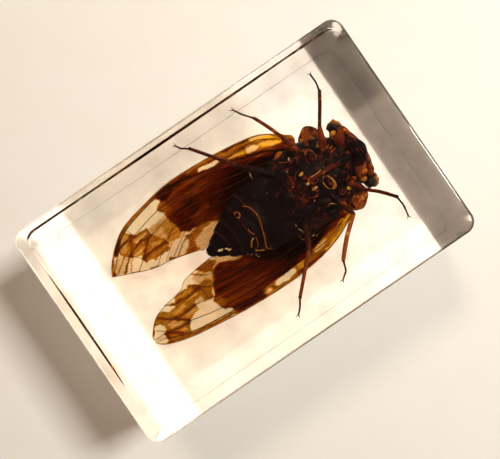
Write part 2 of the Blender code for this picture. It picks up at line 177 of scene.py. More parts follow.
# Legs: the hip, the knee, the bend of the shin, the ankle, the last foot joint and the tip of the foot
LEGS = {
    "fore_left": (
        (17.3, 3.6, 14.2), (18.9, 7.2, 15.0), (20.9, 10.1, 16.0), (22.0, 11.8, 16.2), (22.4, 13.4, 15.8),
        (22.4, 14.9, 15.4),
    ),
    "mid_left": (
        (14.2, 3.5, 14.3), (13.1, 9.4, 14.8), (12.2, 11.5, 16.0), (11.1, 14.0, 16.4), (9.8, 15.7, 16.2),
        (9.0, 17.2, 15.8),
    ),
    "hind_left": (
        (9.6, 4.2, 14.0), (4.4, 9.8, 14.2), (2.8, 12.0, 15.4), (-0.1, 15.9, 16.2), (-1.3, 16.8, 16.0),
        (-1.8, 17.7, 15.6),
    ),
    "fore_right": (
        (17.4, -1.7, 14.2), (19.4, -5.2, 15.0), (21.0, -6.8, 15.8), (22.7, -8.9, 16.0), (22.9, -10.6, 15.7),
        (22.6, -12.5, 15.3),
    ),
    "mid_right": (
        (14.2, -1.8, 14.3), (15.6, -7.3, 14.8), (12.4, -9.9, 15.8), (10.0, -12.4, 16.2), (9.4, -14.1, 16.0),
        (8.2, -15.0, 15.8),
    ),
    "hind_right": (
        (9.6, -2.4, 14.0), (6.5, -7.9, 14.4), (3.7, -10.7, 15.4), (1.0, -13.4, 16.0), (0.1, -14.7, 15.8),
        (-0.8, -15.6, 15.5),
    ),
}
# Tones of their thigh, shin and foot
LEG_TONES = {
    "fore_left": (0.4, 0.26, 0.2), "mid_left": (0.28, 0.33, 0.26), "hind_left": (0.22, 0.28, 0.24),
    "fore_right": (0.28, 0.24, 0.18), "mid_right": (0.26, 0.48, 0.34), "hind_right": (0.24, 0.38, 0.26),
}
THIGH, SHIN, FOOT, TOE = (0.6, 0.62, 0.36), (0.28, 0.3, 0.27), (0.2, 0.15, 0.17), (0.18, 0.14, 0.15)  # radii
THIGH_FLAT, THIGH_LIFT = 0.85, 0.15  # how flat a thigh is, and how far its middle rises
STOUT_LEG, STOUT = "mid_right", 1.25  # the leg whose shin is that much thicker
KNEE_PAD, ANKLE_PAD = (0.36, 0.36, 0.34), (0.3, 0.3, 0.28)  # radii
CLAW, CLAW_TURNS = (0.09, 0.07, 0.025), (0.62, -0.68)  # radii, and turns in radians
SPINE, SPINE_PLACES = (0.07, 0.05, 0.015), (0.45, 0.7, 0.95, 0.98)  # radii, and places along the shin
SPINE_OUT, SPINE_AHEAD = 0.32, 0.34  # how far a spine's point stands out, and how far along the shin

# Head: centres and radii of the skull and the face, the face's cross ridges, the eyes
SKULL, SKULL_RADII, SKULL_BULGE = (20.9, AXIS_Y, 11.4), (2.15, 5.3, 3.1), 0.5
FACE, FACE_RADII = (21.5, AXIS_Y + 0.1, 13.1), (2.15, 2.15, 2.5)
FACE_RIDGES, FACE_RIDGE_RISE = 62, 0.07  # radians of ridging over the face, and their share of its radius
EYE_PLACES = ((1, 21.3), (-1, 21.45))  # side and X
EYE_OUT, EYE_HEIGHT, EYE_RADII = 5.2, 11.3, (1.25, 1.35, 1.55)
# Pads on each side of the face: X, distance from the middle line, height, radii, turn in degrees, tone
CHEEKS = (
    (20.6, 3.0, 14.0, (1.1, 1.2, 0.8), 30, 0.34),
    (21.9, 3.5, 13.3, (0.9, 1.3, 0.9), 12, 0.38),
    (20.4, 4.1, 13.0, (0.8, 0.8, 0.7), 20, 0.62),
)
# Feelers: X, distance from the middle line, height
FEELER = ((21.6, 2.6, 14.3), (21.9, 3.4, 14.6), (21.7, 4.3, 14.6))
BEAK_ROOT = ((20.6, AXIS_Y, 14.9), (18.9, AXIS_Y, 15.7), (17.2, AXIS_Y, 16.1))
BEAK_TIP = ((17.6, AXIS_Y, 16.05), (15.0, AXIS_Y, 16.3), (12.5, AXIS_Y, 16.25))

# Forewings: the leading and the rear edge from root to tip
LEADING = {
    "left": (
        (13.0, 5.0), (15.0, 8.8), (13.5, 10.4), (10.1, 12.6), (5.0, 13.7), (-1.1, 14.35), (-7.2, 14.5),
        (-12.3, 13.7), (-16.9, 12.6), (-19.9, 10.8), (-22.4, 8.3), (-23.4, 6.7),
    ),
    "right": (
        (13.0, -3.4), (16.2, -6.9), (12.4, -8.95), (8.0, -10.2), (1.9, -10.85), (-6.2, -10.62),
        (-12.3, -9.95), (-17.9, -9.1), (-21.9, -7.9), (-23.4, -6.8), (-23.5, -6.1),
    ),
}
REAR = {
    "left": (
        (13.0, 5.0), (3.0, 3.6), (-3.4, 3.3), (-7.8, 1.9), (-9.2, 2.3), (-13.3, 3.4), (-16.9, 4.0),
        (-20.4, 5.4), (-23.4, 6.7),
    ),
    "right": (
        (13.0, -3.4), (3.0, -1.0), (-5.2, 0.5), (-7.2, -0.1), (-8.7, 0.1), (-13.5, -0.5), (-15.3, -1.6),
        (-18.9, -2.3), (-21.4, -3.2), (-23.4, -5.3), (-23.5, -6.1),
    ),
}
# Hindwings: the same two edges
HIND_LEADING = {
    "left": (
        (11.5, 7.0), (8.0, 9.6), (4.0, 10.8), (0.0, 11.8), (-4.0, 12.4), (-7.2, 11.6), (-8.9, 9.8),
    ),
    "right": (
        (12.0, -6.0), (8.0, -8.3), (3.0, -9.1), (-2.0, -9.2), (-6.0, -8.8), (-9.0, -7.8), (-10.4, -6.2),
    ),
}
HIND_REAR = {
    "left": (
        (11.5, 7.0), (6.0, 3.4), (-1.0, 3.9), (-5.0, 5.1), (-7.2, 6.0), (-8.6, 7.8), (-8.9, 9.8),
    ),
    "right": (
        (12.0, -6.0), (6.0, -1.8), (-1.0, -2.2), (-6.6, -1.9), (-8.6, -2.4), (-9.8, -4.2), (-10.4, -6.2),
    ),
}
FORE_HEIGHT, HIND_HEIGHT = 8.98, 9.3
WINGS_Y = 0.9  # the middle line between the wings
CAMBER, CAMBER_OUT, CAMBER_HALF = 0.3, 7.0, 7.5  # the wings' arch, its top from that line, and its half width
DROOP, DROOP_START, DROOP_RUN = 0.12, 12, 12  # the tips' droop; it begins so far back and grows over so much
EDGE_TONE = {"left": 0.9, "right": 0.5}  # how brown the leading edge is
EDGE_RADII, HEM_RADII = (0.1, 0.12, 0.12, 0.11, 0.1, 0.08, 0.06), (0.08, 0.05, 0.05, 0.06)
FILM = 0.05  # thickness of a wing's film
VEIN_RISE = 0.02  # how far the veins' middle lies above the film's
VEIN_SHARE = 0.9  # of the radius given for a forewing's vein, how much is built
STOUT_VEIN = 0.08  # a vein thicker than this is brown at its root

# What follows on the wings is drawn a little small, and is enlarged from this point
WING_PIN = Vector((6.4, -4.65))
WING_GROWTH = 1.0158

# Stained areas of the forewings: stain, gold, softness of the edge, then the outline
AREAS = {"left": (
    (0.31, 0, 0.25, (-13.6, 9.7), (-9.6, 10.2), (-8.4, 7.0), (-8.6, 5.4), (-10.2, 4.6), (-12.2, 4.9),
        (-12.2, 5.9), (-12.9, 7.6), (-13.8, 8.6)),
    (0.17, 0, 0.2, (-12.2, 5.2), (-8.6, 6.4), (-8.3, 4.4), (-10.6, 2.6), (-14.0, 3.4)),
    (0.45, 0, 0.16, (-17.4, 12.2), (-17.2, 11.7), (-16.7, 10.9), (-16.0, 10.1), (-13.7, 9.8), (-13.8, 8.8),
        (-12.9, 7.7), (-12.1, 6.7), (-12.1, 5.9), (-12.6, 5.1), (-13.8, 5.0), (-15.5, 5.1), (-16.7, 5.3),
        (-17.2, 5.5), (-16.9, 6.7), (-18.4, 7.4), (-19.4, 7.9), (-20.0, 9.3), (-20.6, 9.2), (-19.4, 11.2)),
    (0.34, 0, 0.3, (-19.4, 9.2), (-18.2, 10.9), (-17.4, 11.2), (-17.1, 10.6), (-18.9, 8.4)),
    (0.33, 0, 0.3, (-16.6, 9.6), (-14.2, 9.6), (-14.4, 9.0), (-16.6, 8.9)),
    (0.34, 0, 0.3, (-18.0, 7.4), (-15.9, 7.9), (-16.6, 6.8), (-17.6, 6.9)),
    (0.34, 0, 0.25, (-14.6, 7.4), (-12.8, 7.2), (-12.6, 6.7), (-15.0, 6.7)),
    (0.24, 0, 0.3, (-19.6, 8.6), (-20.6, 8.6), (-22.6, 7.0), (-22.2, 6.2), (-20.6, 5.7), (-19.0, 7.0)),
    (0.42, 0, 0.4, (-11.6, 9.0), (-9.8, 9.2), (-9.2, 7.6), (-8.6, 6.2), (-10.4, 5.6), (-11.8, 6.2),
        (-11.8, 7.8)),
    (0.27, 0, 0.15, (-8.6, 3.4), (-7.2, 4.7), (-5.2, 5.2), (-3.0, 4.4), (-2.0, 3.0), (-8.4, 1.6)),
    (0.8, 0, 0.2, (-9.9, 13.9), (-9.9, 13.2), (-9.2, 12.7), (-10.6, 11.4), (-9.9, 10.3), (-9.9, 9.0),
        (-9.3, 7.6), (-8.8, 6.4), (-8.1, 5.7), (-5.5, 5.5), (-3.0, 4.3), (3.0, 3.0), (13.0, 4.5),
        (16.0, 9.0), (14.0, 11.4), (10.0, 14.0), (5.0, 15.5), (-7.0, 15.5)),
    (0.9, 0, 0.3, (-9.3, 8.7), (-4.4, 9.3), (0.0, 9.0), (-1.5, 7.0), (-2.9, 5.4), (-5.4, 5.7), (-8.2, 5.8),
        (-9.2, 6.8)),
    (1.0, 0, 0.9, (-2.9, 5.2), (-1.5, 7.0), (0.2, 8.8), (5.1, 9.2), (9.5, 8.8), (12.6, 9.0), (13.0, 5.0),
        (3.0, 3.6), (-3.0, 4.0)),
    (0.72, 0, 0.3, (-8.6, 11.7), (-7.4, 12.6), (-4.4, 12.8), (-2.1, 12.3), (-1.7, 11.5), (-4.4, 11.1),
        (-4.6, 10.1), (-7.4, 9.7), (-8.6, 9.7)),
    (0.66, 0, 0.4, (-4.2, 11.1), (-1.7, 11.7), (1.5, 11.1), (2.3, 9.9), (-0.1, 9.5), (-4.0, 9.4)),
    (0.72, 0, 0.4, (-7.0, 6.9), (-4.4, 8.1), (-2.9, 8.3), (-2.9, 6.9), (-5.2, 6.0), (-6.8, 6.2)),
    (0.57, 0, 0.25, (-10.5, 11.5), (-9.6, 12.4), (-8.8, 12.0), (-8.7, 10.2), (-9.9, 9.9)),
    (0.96, 0, 0.25, (-9.4, 13.3), (-8.0, 13.9), (-3.5, 13.8), (-1.7, 12.8), (-2.9, 12.9), (-4.4, 13.1),
        (-6.4, 13.0), (-8.2, 11.9), (-9.2, 12.3)),
    (0.6, 0, 0.3, (-11.0, 2.7), (-9.3, 4.1), (-8.3, 5.3), (-7.2, 5.3), (-8.2, 4.0), (-8.7, 2.3),
        (-9.8, 2.2)),
    (0.5, 0, 0.25, (-9.3, 5.4), (-8.0, 5.2), (-6.4, 5.6), (-4.6, 5.4), (-4.4, 4.8), (-6.0, 4.6),
        (-8.0, 4.0), (-9.2, 4.6)),
    (0.6, 0.3, 0.3, (2.0, 14.0), (8.0, 13.6), (12.0, 12.0), (15.5, 8.6), (13.0, 9.0), (9.0, 10.0),
        (5.0, 11.3), (2.3, 12.2)),
    (0.57, 0.2, 0.25, (-3.3, 14.6), (-3.3, 13.6), (-0.1, 13.6), (3.8, 13.0), (3.8, 14.4)),
    (0.05, 0.1, 0.14, (-1.5, 13.0), (-1.2, 13.5), (2.3, 12.85), (2.5, 12.35), (1.5, 12.1), (-1.3, 12.8)),
    (0.64, 0.2, 0.2, (2.7, 12.8), (7.0, 12.4), (7.2, 11.7), (6.8, 11.1), (4.4, 11.7), (3.1, 11.9)),
    (0.34, 0.6, 0.2, (3.4, 12.05), (5.0, 12.05), (6.8, 11.5), (6.6, 11.1), (4.6, 11.6)),
    (0.12, 0.4, 0.15, (6.7, 11.1), (7.3, 11.7), (8.8, 11.4), (9.4, 10.8), (8.4, 10.4), (7.4, 10.7)),
    (0.15, 1.0, 0.2, (8.4, 12.6), (9.7, 12.6), (11.5, 11.5), (12.5, 10.3), (10.7, 11.1), (8.6, 11.9)),
    (0.3, 0.9, 0.25, (9.4, 11.3), (11.3, 10.7), (13.1, 9.5), (11.7, 9.3), (9.7, 10.3)),
    (0.5, 0.1, 0.25, (5.0, 10.0), (8.8, 9.5), (9.0, 9.2), (5.4, 9.5)),
), "right": (
    (0.27, 0, 0.25, (-12.3, -1.0), (-9.0, -0.3), (-8.6, -2.2), (-10.4, -4.2), (-11.2, -5.7), (-14.1, -5.0),
        (-13.6, -4.3), (-12.3, -3.9), (-12.0, -2.8)),
    (0.46, 0, 0.16, (-20.0, -2.8), (-20.6, -3.2), (-21.6, -3.9), (-21.5, -4.3), (-20.7, -4.6),
        (-20.4, -5.0), (-20.4, -5.6), (-21.1, -6.0), (-21.3, -7.7), (-17.3, -8.6), (-17.0, -7.6),
        (-16.3, -6.8), (-15.2, -6.2), (-14.3, -6.1), (-14.2, -5.0), (-13.8, -4.3), (-12.5, -3.9),
        (-12.0, -3.0), (-12.3, -2.1), (-13.2, -1.7), (-14.0, -2.0), (-16.0, -1.9), (-16.8, -2.6),
        (-17.2, -3.5), (-18.6, -3.6), (-19.4, -2.8)),
    (0.32, 0, 0.3, (-20.2, -5.0), (-18.6, -5.2), (-17.2, -6.4), (-19.6, -6.1)),
    (0.33, 0, 0.3, (-16.6, -5.5), (-14.5, -5.3), (-14.8, -5.9), (-16.4, -6.2)),
    (0.34, 0, 0.3, (-18.3, -4.0), (-15.8, -3.8), (-15.4, -4.4), (-17.8, -4.7)),
    (0.32, 0, 0.25, (-14.8, -3.7), (-12.6, -3.2), (-12.8, -3.8)),
    (0.34, 0, 0.25, (-19.6, -7.0), (-17.6, -6.9), (-17.4, -7.8), (-18.6, -7.4)),
    (0.36, 0, 0.2, (-16.2, -2.3), (-13.8, -2.2), (-14.0, -2.6), (-16.2, -2.7)),
    (0.47, 0, 0.4, (-12.6, -2.6), (-10.2, -2.4), (-9.6, -3.4), (-10.6, -4.6), (-11.2, -5.9), (-12.7, -5.3),
        (-12.4, -3.9)),
    (0.27, 0, 0.15, (-8.4, -0.3), (-7.0, -0.2), (-4.0, -1.6), (-3.0, -3.0), (-5.5, -2.5), (-8.2, -1.5)),
    (0.8, 0, 0.2, (-9.3, -10.4), (-9.4, -9.0), (-10.6, -8.2), (-10.9, -7.6), (-11.3, -6.2), (-10.4, -5.2),
        (-10.2, -4.3), (-9.2, -2.8), (-8.5, -1.9), (-7.0, -1.5), (-4.0, -2.9), (3.0, -1.0), (13.0, -3.0),
        (16.0, -7.2), (12.0, -10.5), (8.0, -12.0), (-6.0, -12.0)),
    (1.0, 0, 0.9, (-3.6, -2.5), (-1.0, -4.9), (1.5, -6.9), (3.4, -8.6), (6.5, -8.4), (9.1, -8.2),
        (14.9, -7.0), (13.0, -3.0), (3.0, -1.0), (-4.0, -1.5)),
    (0.68, 0, 0.4, (-10.7, -5.9), (-7.5, -5.9), (-2.0, -6.8), (-1.2, -7.6), (-3.7, -8.5), (-6.9, -8.7),
        (-9.7, -8.5), (-10.7, -7.4)),
    (0.58, 0, 0.3, (-11.2, -6.2), (-10.3, -5.7), (-9.4, -6.4), (-9.6, -7.6), (-10.9, -7.8)),
    (0.96, 0, 0.25, (-9.3, -8.8), (-6.9, -9.0), (-3.7, -9.1), (-3.9, -10.4), (-7.5, -10.4), (-9.3, -9.8)),
    (0.6, 0, 0.3, (-11.0, -0.2), (-8.0, 0.1), (-7.4, -0.9), (-8.8, -2.0), (-9.8, -1.5)),
    (0.6, 0.3, 0.3, (-3.6, -9.0), (3.0, -8.7), (7.0, -8.0), (13.0, -7.0), (16.4, -6.8), (13.0, -9.6),
        (6.0, -11.2), (-3.6, -11.2)),
    (0.2, 0.2, 0.2, (-3.7, -10.0), (-2.3, -9.4), (-2.0, -10.0), (-2.5, -10.4)),
    (0.05, 0.05, 0.14, (-1.5, -9.7), (-0.9, -9.2), (2.4, -9.2), (3.1, -9.7), (1.4, -10.3), (-1.4, -10.2)),
    (0.42, 0.3, 0.2, (3.2, -9.1), (4.6, -9.1), (4.6, -9.9), (3.4, -10.0)),
    (0.25, 0.3, 0.15, (6.9, -8.8), (7.3, -8.5), (9.7, -8.05), (9.9, -8.4), (8.2, -9.1), (7.1, -9.1)),
    (0.4, 0.8, 0.25, (7.5, -9.5), (10.5, -8.3), (13.7, -7.4), (15.4, -7.0), (14.5, -8.0), (11.6, -9.3)),
    (0.15, 1.0, 0.2, (8.6, -9.7), (11.1, -9.3), (11.6, -9.5), (10.9, -10.1), (8.8, -10.3)),
)}
# Stained lines of the forewings: stain, width, then points
STROKES = {"left": (
    (0.62, 0.6, (-9.6, 13.6), (-13.0, 13.1), (-16.0, 12.3), (-18.0, 11.5), (-19.6, 10.4), (-21.2, 8.9),
        (-22.6, 7.2)),
    (0.97, 0.85, (-18.9, 10.9), (-19.6, 10.1), (-20.3, 9.3)),
    (0.66, 0.5, (-16.7, 10.3), (-17.6, 8.8), (-18.5, 7.6)),
    (0.62, 0.25, (-19.8, 9.4), (-17.4, 10.2), (-16.0, 10.0), (-13.9, 9.9)),
    (0.64, 0.5, (-17.6, 8.3), (-15.5, 8.7), (-13.8, 8.6)),
    (0.64, 0.45, (-14.5, 8.5), (-15.8, 7.2), (-16.9, 6.1), (-16.9, 5.3)),
    (0.58, 0.2, (-14.2, 7.6), (-12.9, 7.5)), (0.65, 0.55, (-17.0, 6.2), (-15.0, 6.4), (-12.4, 6.2)),
    (0.62, 0.3, (-15.4, 5.0), (-13.6, 5.1), (-12.4, 5.3)), (0.5, 0.16, (-20.2, 8.9), (-22.2, 7.0)),
    (0.5, 0.16, (-19.4, 8.1), (-21.9, 6.4)), (0.62, 0.3, (-18.9, 7.6), (-21.0, 5.6)),
    (0.5, 0.2, (-18.4, 7.3), (-19.8, 5.7)), (0.88, 0.55, (-22.3, 6.7), (-22.9, 6.5)),
    (0.62, 0.3, (-20.0, 5.3), (-18.7, 4.5)), (0.6, 0.24, (-16.9, 4.2), (-15.8, 3.7)),
    (0.78, 0.42, (-13.5, 3.7), (-12.7, 3.3)), (0.66, 0.4, (-12.6, 3.1), (-10.8, 2.6), (-8.5, 2.4)),
    (0.5, 0.12, (-9.2, 5.0), (-12.2, 3.3)), (0.97, 0.45, (-9.5, 8.8), (-4.4, 9.6), (2.9, 9.6), (4.6, 9.2)),
    (0.93, 0.35, (-7.4, 6.9), (-4.6, 8.3), (-1.7, 9.1)),
    (0.95, 0.3, (-9.7, 8.9), (-9.2, 7.7), (-9.2, 6.5), (-8.2, 5.8), (-5.4, 5.7)),
    (0.95, 0.7, (-2.7, 7.6), (1.0, 7.8), (5.0, 8.0)), (0.95, 0.5, (-4.0, 5.9), (0.0, 6.3), (4.0, 6.2)),
    (0.86, 0.3, (-8.4, 10.8), (-4.6, 11.4), (0.0, 12.0), (3.0, 11.9)),
    (0.84, 0.3, (-8.6, 9.6), (-6.0, 10.0), (-4.0, 10.2)),
    (0.85, 0.2, (8.4, 11.7), (10.7, 11.0), (12.7, 9.7)),
    (0.96, 0.4, (3.2, 11.5), (5.8, 10.7), (7.8, 10.1), (9.4, 9.7)),
    (0.97, 0.3, (3.8, 13.4), (6.0, 13.1), (8.4, 12.7)),
    (0.8, 0.18, (9.0, 11.9), (11.0, 11.4), (12.4, 10.4)),
), "right": (
    (0.64, 0.55, (-9.0, -9.8), (-13.0, -9.4), (-16.0, -8.9), (-19.0, -8.4), (-21.5, -7.8)),
    (0.8, 0.3, (-22.8, -7.3), (-21.8, -7.8), (-20.5, -8.1)),
    (0.7, 0.35, (-20.6, -3.4), (-19.4, -4.2), (-18.2, -5.0), (-16.8, -5.15), (-15.0, -5.0), (-14.2, -4.9)),
    (0.66, 0.5, (-18.2, -5.0), (-17.4, -5.8), (-16.6, -6.6)),
    (0.67, 0.35, (-20.6, -6.2), (-19.0, -6.6), (-17.0, -6.8)),
    (0.76, 0.5, (-20.4, -6.3), (-19.4, -7.1), (-18.6, -7.8)), (0.78, 0.6, (-20.9, -6.2), (-20.8, -7.0)),
    (0.65, 0.5, (-16.6, -3.0), (-14.0, -3.2), (-12.2, -2.9)), (0.6, 0.25, (-16.4, -2.1), (-13.8, -2.0)),
    (0.62, 0.45, (-13.5, -1.9), (-12.6, -2.3), (-12.1, -3.0)), (0.6, 0.3, (-12.6, -4.0), (-14.0, -4.3)),
    (0.62, 0.35, (-20.0, -2.8), (-21.4, -3.6), (-22.4, -4.8)), (0.85, 0.42, (-22.4, -4.9), (-22.8, -5.3)),
    (0.35, 0.1, (-22.0, -4.9), (-20.6, -5.9)), (0.35, 0.1, (-22.8, -6.1), (-21.3, -6.8)),
    (0.85, 0.36, (-17.6, -2.8), (-17.1, -2.95)), (0.42, 0.14, (-18.6, -2.1), (-17.4, -2.8)),
    (0.5, 0.2, (-12.1, -0.3), (-9.8, -2.0)), (0.62, 0.4, (-10.8, -0.2), (-9.2, -1.5)),
    (0.95, 0.35, (-10.1, -5.1), (-5.0, -5.6), (-0.3, -6.4)),
    (0.95, 0.4, (-9.4, -4.0), (-5.0, -4.8), (-1.2, -5.7)),
    (0.95, 0.4, (-8.4, -3.0), (-5.0, -4.0), (-2.0, -5.3)),
    (0.84, 0.3, (-9.9, -6.6), (-5.0, -7.3), (-1.0, -7.7)),
    (0.86, 0.25, (-9.6, -8.0), (-5.0, -8.4), (-1.5, -8.5)),
    (0.85, 0.3, (-2.4, -9.5), (-1.8, -9.9), (-1.6, -10.3)),
    (0.92, 0.5, (2.9, -10.3), (5.6, -10.2), (8.6, -9.95)),
    (0.95, 0.4, (6.8, -7.9), (9.6, -7.6), (12.6, -7.1)),
    (0.85, 0.18, (7.3, -9.7), (11.6, -8.5), (14.7, -7.6)),
    (0.85, 0.18, (11.1, -9.3), (13.0, -8.7), (14.5, -8.2)),
    (0.8, 0.2, (4.4, -9.6), (6.4, -9.3), (8.0, -9.5)), (0.8, 0.25, (9.2, -8.9), (11.6, -8.2), (13.6, -7.5)),
    (0.75, 0.25, (8.8, -9.3), (10.6, -8.9), (12.4, -8.3)),
)}
WANDER, WANDER_COARSE, WANDER_FINE = 0.2, 1.3, 3.4  # how far the stain's edges wander, and how finely
LINE_COVER, LINE_SOFT = 0.85, 0.3  # how much a stained line covers, and how soft it is
HALO_REACH, HALO_DEPTH = 0.36, 0.45  # how far from the veins the stain darkens, and by how much
BARE = 0.06  # stain of a clear cell
# Veins of the wings: radius, then points from root to edge
VEINS = {"left": (
    (0.1, (14.0, 9.0), (9.0, 11.9), (2.8, 12.0), (-1.5, 12.6), (-5.0, 13.2), (-9.5, 13.3), (-13.0, 12.7),
        (-16.0, 11.9), (-18.0, 11.0), (-19.6, 9.6)),
    (0.07, (13.0, 7.8), (8.0, 10.0), (2.0, 11.1), (-4.0, 11.8), (-10.6, 11.4), (-16.0, 10.2), (-17.5, 10.2),
        (-19.8, 9.3), (-20.7, 8.5), (-22.1, 7.0)),
    (0.07, (10.0, 7.6), (4.0, 9.4), (-2.0, 9.9), (-9.9, 9.3), (-13.7, 8.6), (-16.0, 8.6), (-18.5, 7.6),
        (-21.0, 5.7)),
    (0.07, (8.0, 6.6), (2.0, 7.9), (-4.0, 8.2), (-9.6, 7.7), (-12.1, 6.5), (-15.0, 6.4), (-17.0, 6.0),
        (-18.9, 4.7)),
    (0.06, (6.0, 5.4), (-1.0, 6.6), (-6.0, 6.8), (-8.7, 6.0), (-12.6, 3.6)),
    (0.055, (2.0, 4.8), (-5.4, 5.4), (-9.2, 5.0), (-12.2, 3.2)), (0.05, (-14.0, 5.2), (-15.7, 3.8)),
    (0.055, (-16.7, 11.7), (-16.2, 10.2)), (0.055, (-13.9, 9.8), (-13.7, 8.6)),
    (0.05, (-12.2, 5.2), (-14.2, 3.6)), (0.05, (-19.4, 8.2), (-21.8, 6.3)),
    (0.05, (-16.5, 8.6), (-18.0, 10.2)), (0.05, (-18.3, 7.6), (-17.0, 6.1)),
    (0.05, (-14.6, 8.6), (-16.8, 6.1)),
), "right": (
    (0.1, (14.0, -7.4), (9.0, -8.6), (3.0, -8.9), (-2.0, -9.1), (-6.0, -9.3), (-9.4, -9.35), (-13.0, -9.0),
        (-16.0, -8.6), (-18.4, -8.0), (-20.8, -7.2)),
    (0.07, (12.0, -6.6), (6.0, -8.0), (0.0, -8.3), (-6.0, -8.3), (-11.4, -7.8), (-16.0, -6.8),
        (-18.5, -6.5), (-20.8, -6.1), (-22.8, -6.1)),
    (0.07, (9.0, -5.6), (3.0, -6.8), (-4.0, -6.7), (-11.0, -5.6), (-14.2, -5.0), (-18.2, -5.0),
        (-20.6, -3.4)),
    (0.07, (6.0, -4.0), (0.0, -5.0), (-6.0, -4.6), (-10.2, -4.0), (-12.0, -3.0), (-15.0, -3.1),
        (-17.1, -3.0), (-18.6, -2.1)),
    (0.055, (2.0, -2.6), (-4.0, -3.2), (-9.8, -2.0), (-12.1, -0.3)), (0.05, (-8.6, -1.3), (-10.9, -0.1)),
    (0.055, (-18.2, -5.0), (-16.6, -6.7)), (0.055, (-16.6, -6.7), (-17.4, -8.3)),
    (0.055, (-14.2, -5.0), (-14.1, -6.0)), (0.05, (-22.0, -4.9), (-20.5, -6.0)),
    (0.05, (-21.2, -6.9), (-22.9, -6.5)), (0.05, (-12.0, -3.0), (-11.8, -5.2)),
)}
HIND_VEINS = {"left": (
    (0.07, (10.5, 7.4), (3.0, 9.0), (-3.0, 10.6), (-8.2, 10.4)),
    (0.06, (10.0, 7.0), (2.0, 7.8), (-4.0, 8.8), (-8.4, 8.9)),
    (0.06, (10.0, 6.6), (1.0, 6.4), (-4.0, 7.0), (-8.0, 7.6)),
    (0.05, (9.0, 6.0), (0.0, 5.0), (-4.0, 5.4), (-6.6, 6.0)),
), "right": (
    (0.07, (11.0, -6.4), (4.0, -8.0), (-3.0, -8.0), (-9.6, -7.1)),
    (0.06, (11.0, -6.0), (3.0, -6.4), (-4.0, -6.2), (-10.0, -5.6)),
    (0.06, (10.0, -5.2), (2.0, -4.8), (-4.0, -4.4), (-9.4, -4.2)),
    (0.05, (9.0, -4.6), (1.0, -3.2), (-4.0, -2.9), (-8.4, -2.6)),
)}
# Collar behind the head: its outline from above, the height of its underside, its thickness and round
COLLAR = (
    (15.3, 3.0), (15.2, 7.6), (16.2, 8.8), (17.4, 9.4), (18.6, 8.7), (19.2, 7.4), (19.4, 5.4),
    (20.0, 2.5), (20.0, -1.0), (20.1, -4.2), (20.1, -5.9), (19.2, -6.9), (18.1, -7.6), (17.2, -7.4),
    (16.3, -6.6), (15.4, -2.0),
)
COLLAR_BASE, COLLAR_THICK, COLLAR_ROUND = 7.5, 2.3, 0.7
COLLAR_STEPS = 4  # points for each one of the outline
FLARE_START, FLARE_RUN = 4.6, 1.6  # where the flared corners begin, from the middle line, and over what width

# Stage: lamps, sheets, table and camera
LAMP_DISTANCE, LAMP_SIZE = 0.5, 0.1  # metres
HEAD_LAMP_AIM, SIDE_LAMP_AIM = (0.656, -0.05, 0.755), (4.3, 15.2, 22.0)  # directions from the origin
HEAD_LAMP_COLOUR, SIDE_LAMP_COLOUR = (0.97, 0.95, 0.87), (1.0, 0.78, 0.6)
INNER_DISTANCE = 0.8  # metres from the origin to the lamps that light only the block's inside
SLANT_X, SLANT_Y = 0.2, 0.19  # how far sideways that light comes for each mm that it falls
FAR = 200.0  # where the shade sheets end, from the origin
LOW_SHEET_X, LOW_SHEET_HEIGHT = 26.95, 4.0  # where the low sheet begins, and its height
OVER_TAIL_X, OVER_CORNER = 16.0, (15.1, -3.8)  # where the sheet over the tail ends and a corner's begins
TABLE_HALF, TABLE_HEIGHT, REST_HEIGHT = 600, -0.06, -0.03  # the table, and the patch of it under the block
CAMERA_X, CAMERA_Y, CAMERA_TURN = 6.4, -4.65, -34.43  # the turn in degrees
CAMERA_SHIFT = (-0.094, 0.006)  # shares of the picture's width


def tint(red, green, blue):
    """A colour named by its screen values from 0 to 255, as the shaders' linear values."""
    return tuple(
        value / 255 / 12.92 if value <= 10.3 else ((value / 255 + 0.055) / 1.055) ** 2.4
        for value in (red, green, blue)
    )


# ---------------------------------------------------------------- settings


class ResinSettings(bpy.types.PropertyGroup):
    corner: FloatProperty(
        name="Corner", description="Radius of the upright edges", default=2.2 * MM, unit="LENGTH"
    )
    back_round: FloatProperty(
        name="Back edge", description="How far the top edge's round reaches inward",
        default=0.6 * MM, unit="LENGTH"
    )
    back_fall: FloatProperty(
        name="Back edge's fall", description="How far that round reaches down the sides",
        default=0.6 * MM, unit="LENGTH"
    )
    front_round: FloatProperty(
        name="Front edge", description="Round of the edge underneath", default=0.06 * MM, unit="LENGTH"
    )
    seam_side: FloatProperty(
        name="Seam on the side", description="Height of the line where two pours meet",
        default=14.65 * MM, unit="LENGTH"
    )
    seam_tail: FloatProperty(
        name="Seam at the tail", description="Height of that line beyond the tail",
        default=15.5 * MM, unit="LENGTH"
    )
    seam_width: FloatProperty(
        name="Seam width", description="Mean height of that line", default=2.3 * MM, unit="LENGTH"
    )
    seam_depth: FloatProperty(
        name="Seam depth", description="Depth of that line", default=0.12 * MM, unit="LENGTH"
    )
    lean: FloatProperty(
        name="Lean", description="How far the sides lean in above the seam", default=0.1 * MM, unit="LENGTH"
    )
    refraction: FloatProperty(
        name="Refraction", description="Index of refraction of the resin", default=1.5
    )
    clarity: FloatVectorProperty(
        name="Tint", description="Colour of the resin's surface",
        subtype="COLOR", default=(0.99, 0.985, 0.975)
    )
    # Painted shade: a dark tint on the back's round edge stands for the dark outline that the edge throws by
    # refraction.
    edge_shade_colour: FloatVectorProperty(
        name="Edge tint", description="Colour of the worn edge round the back",
        subtype="COLOR", default=(0.045, 0.034, 0.023)
    )
    depth_tint: FloatVectorProperty(
        name="Depth tint", description="Colour that thick resin takes",
        subtype="COLOR", default=(0.95, 0.86, 0.72)
    )
    depth_density: FloatProperty(
        name="Density", description="How strongly thick resin tints, per metre", default=4.0
    )


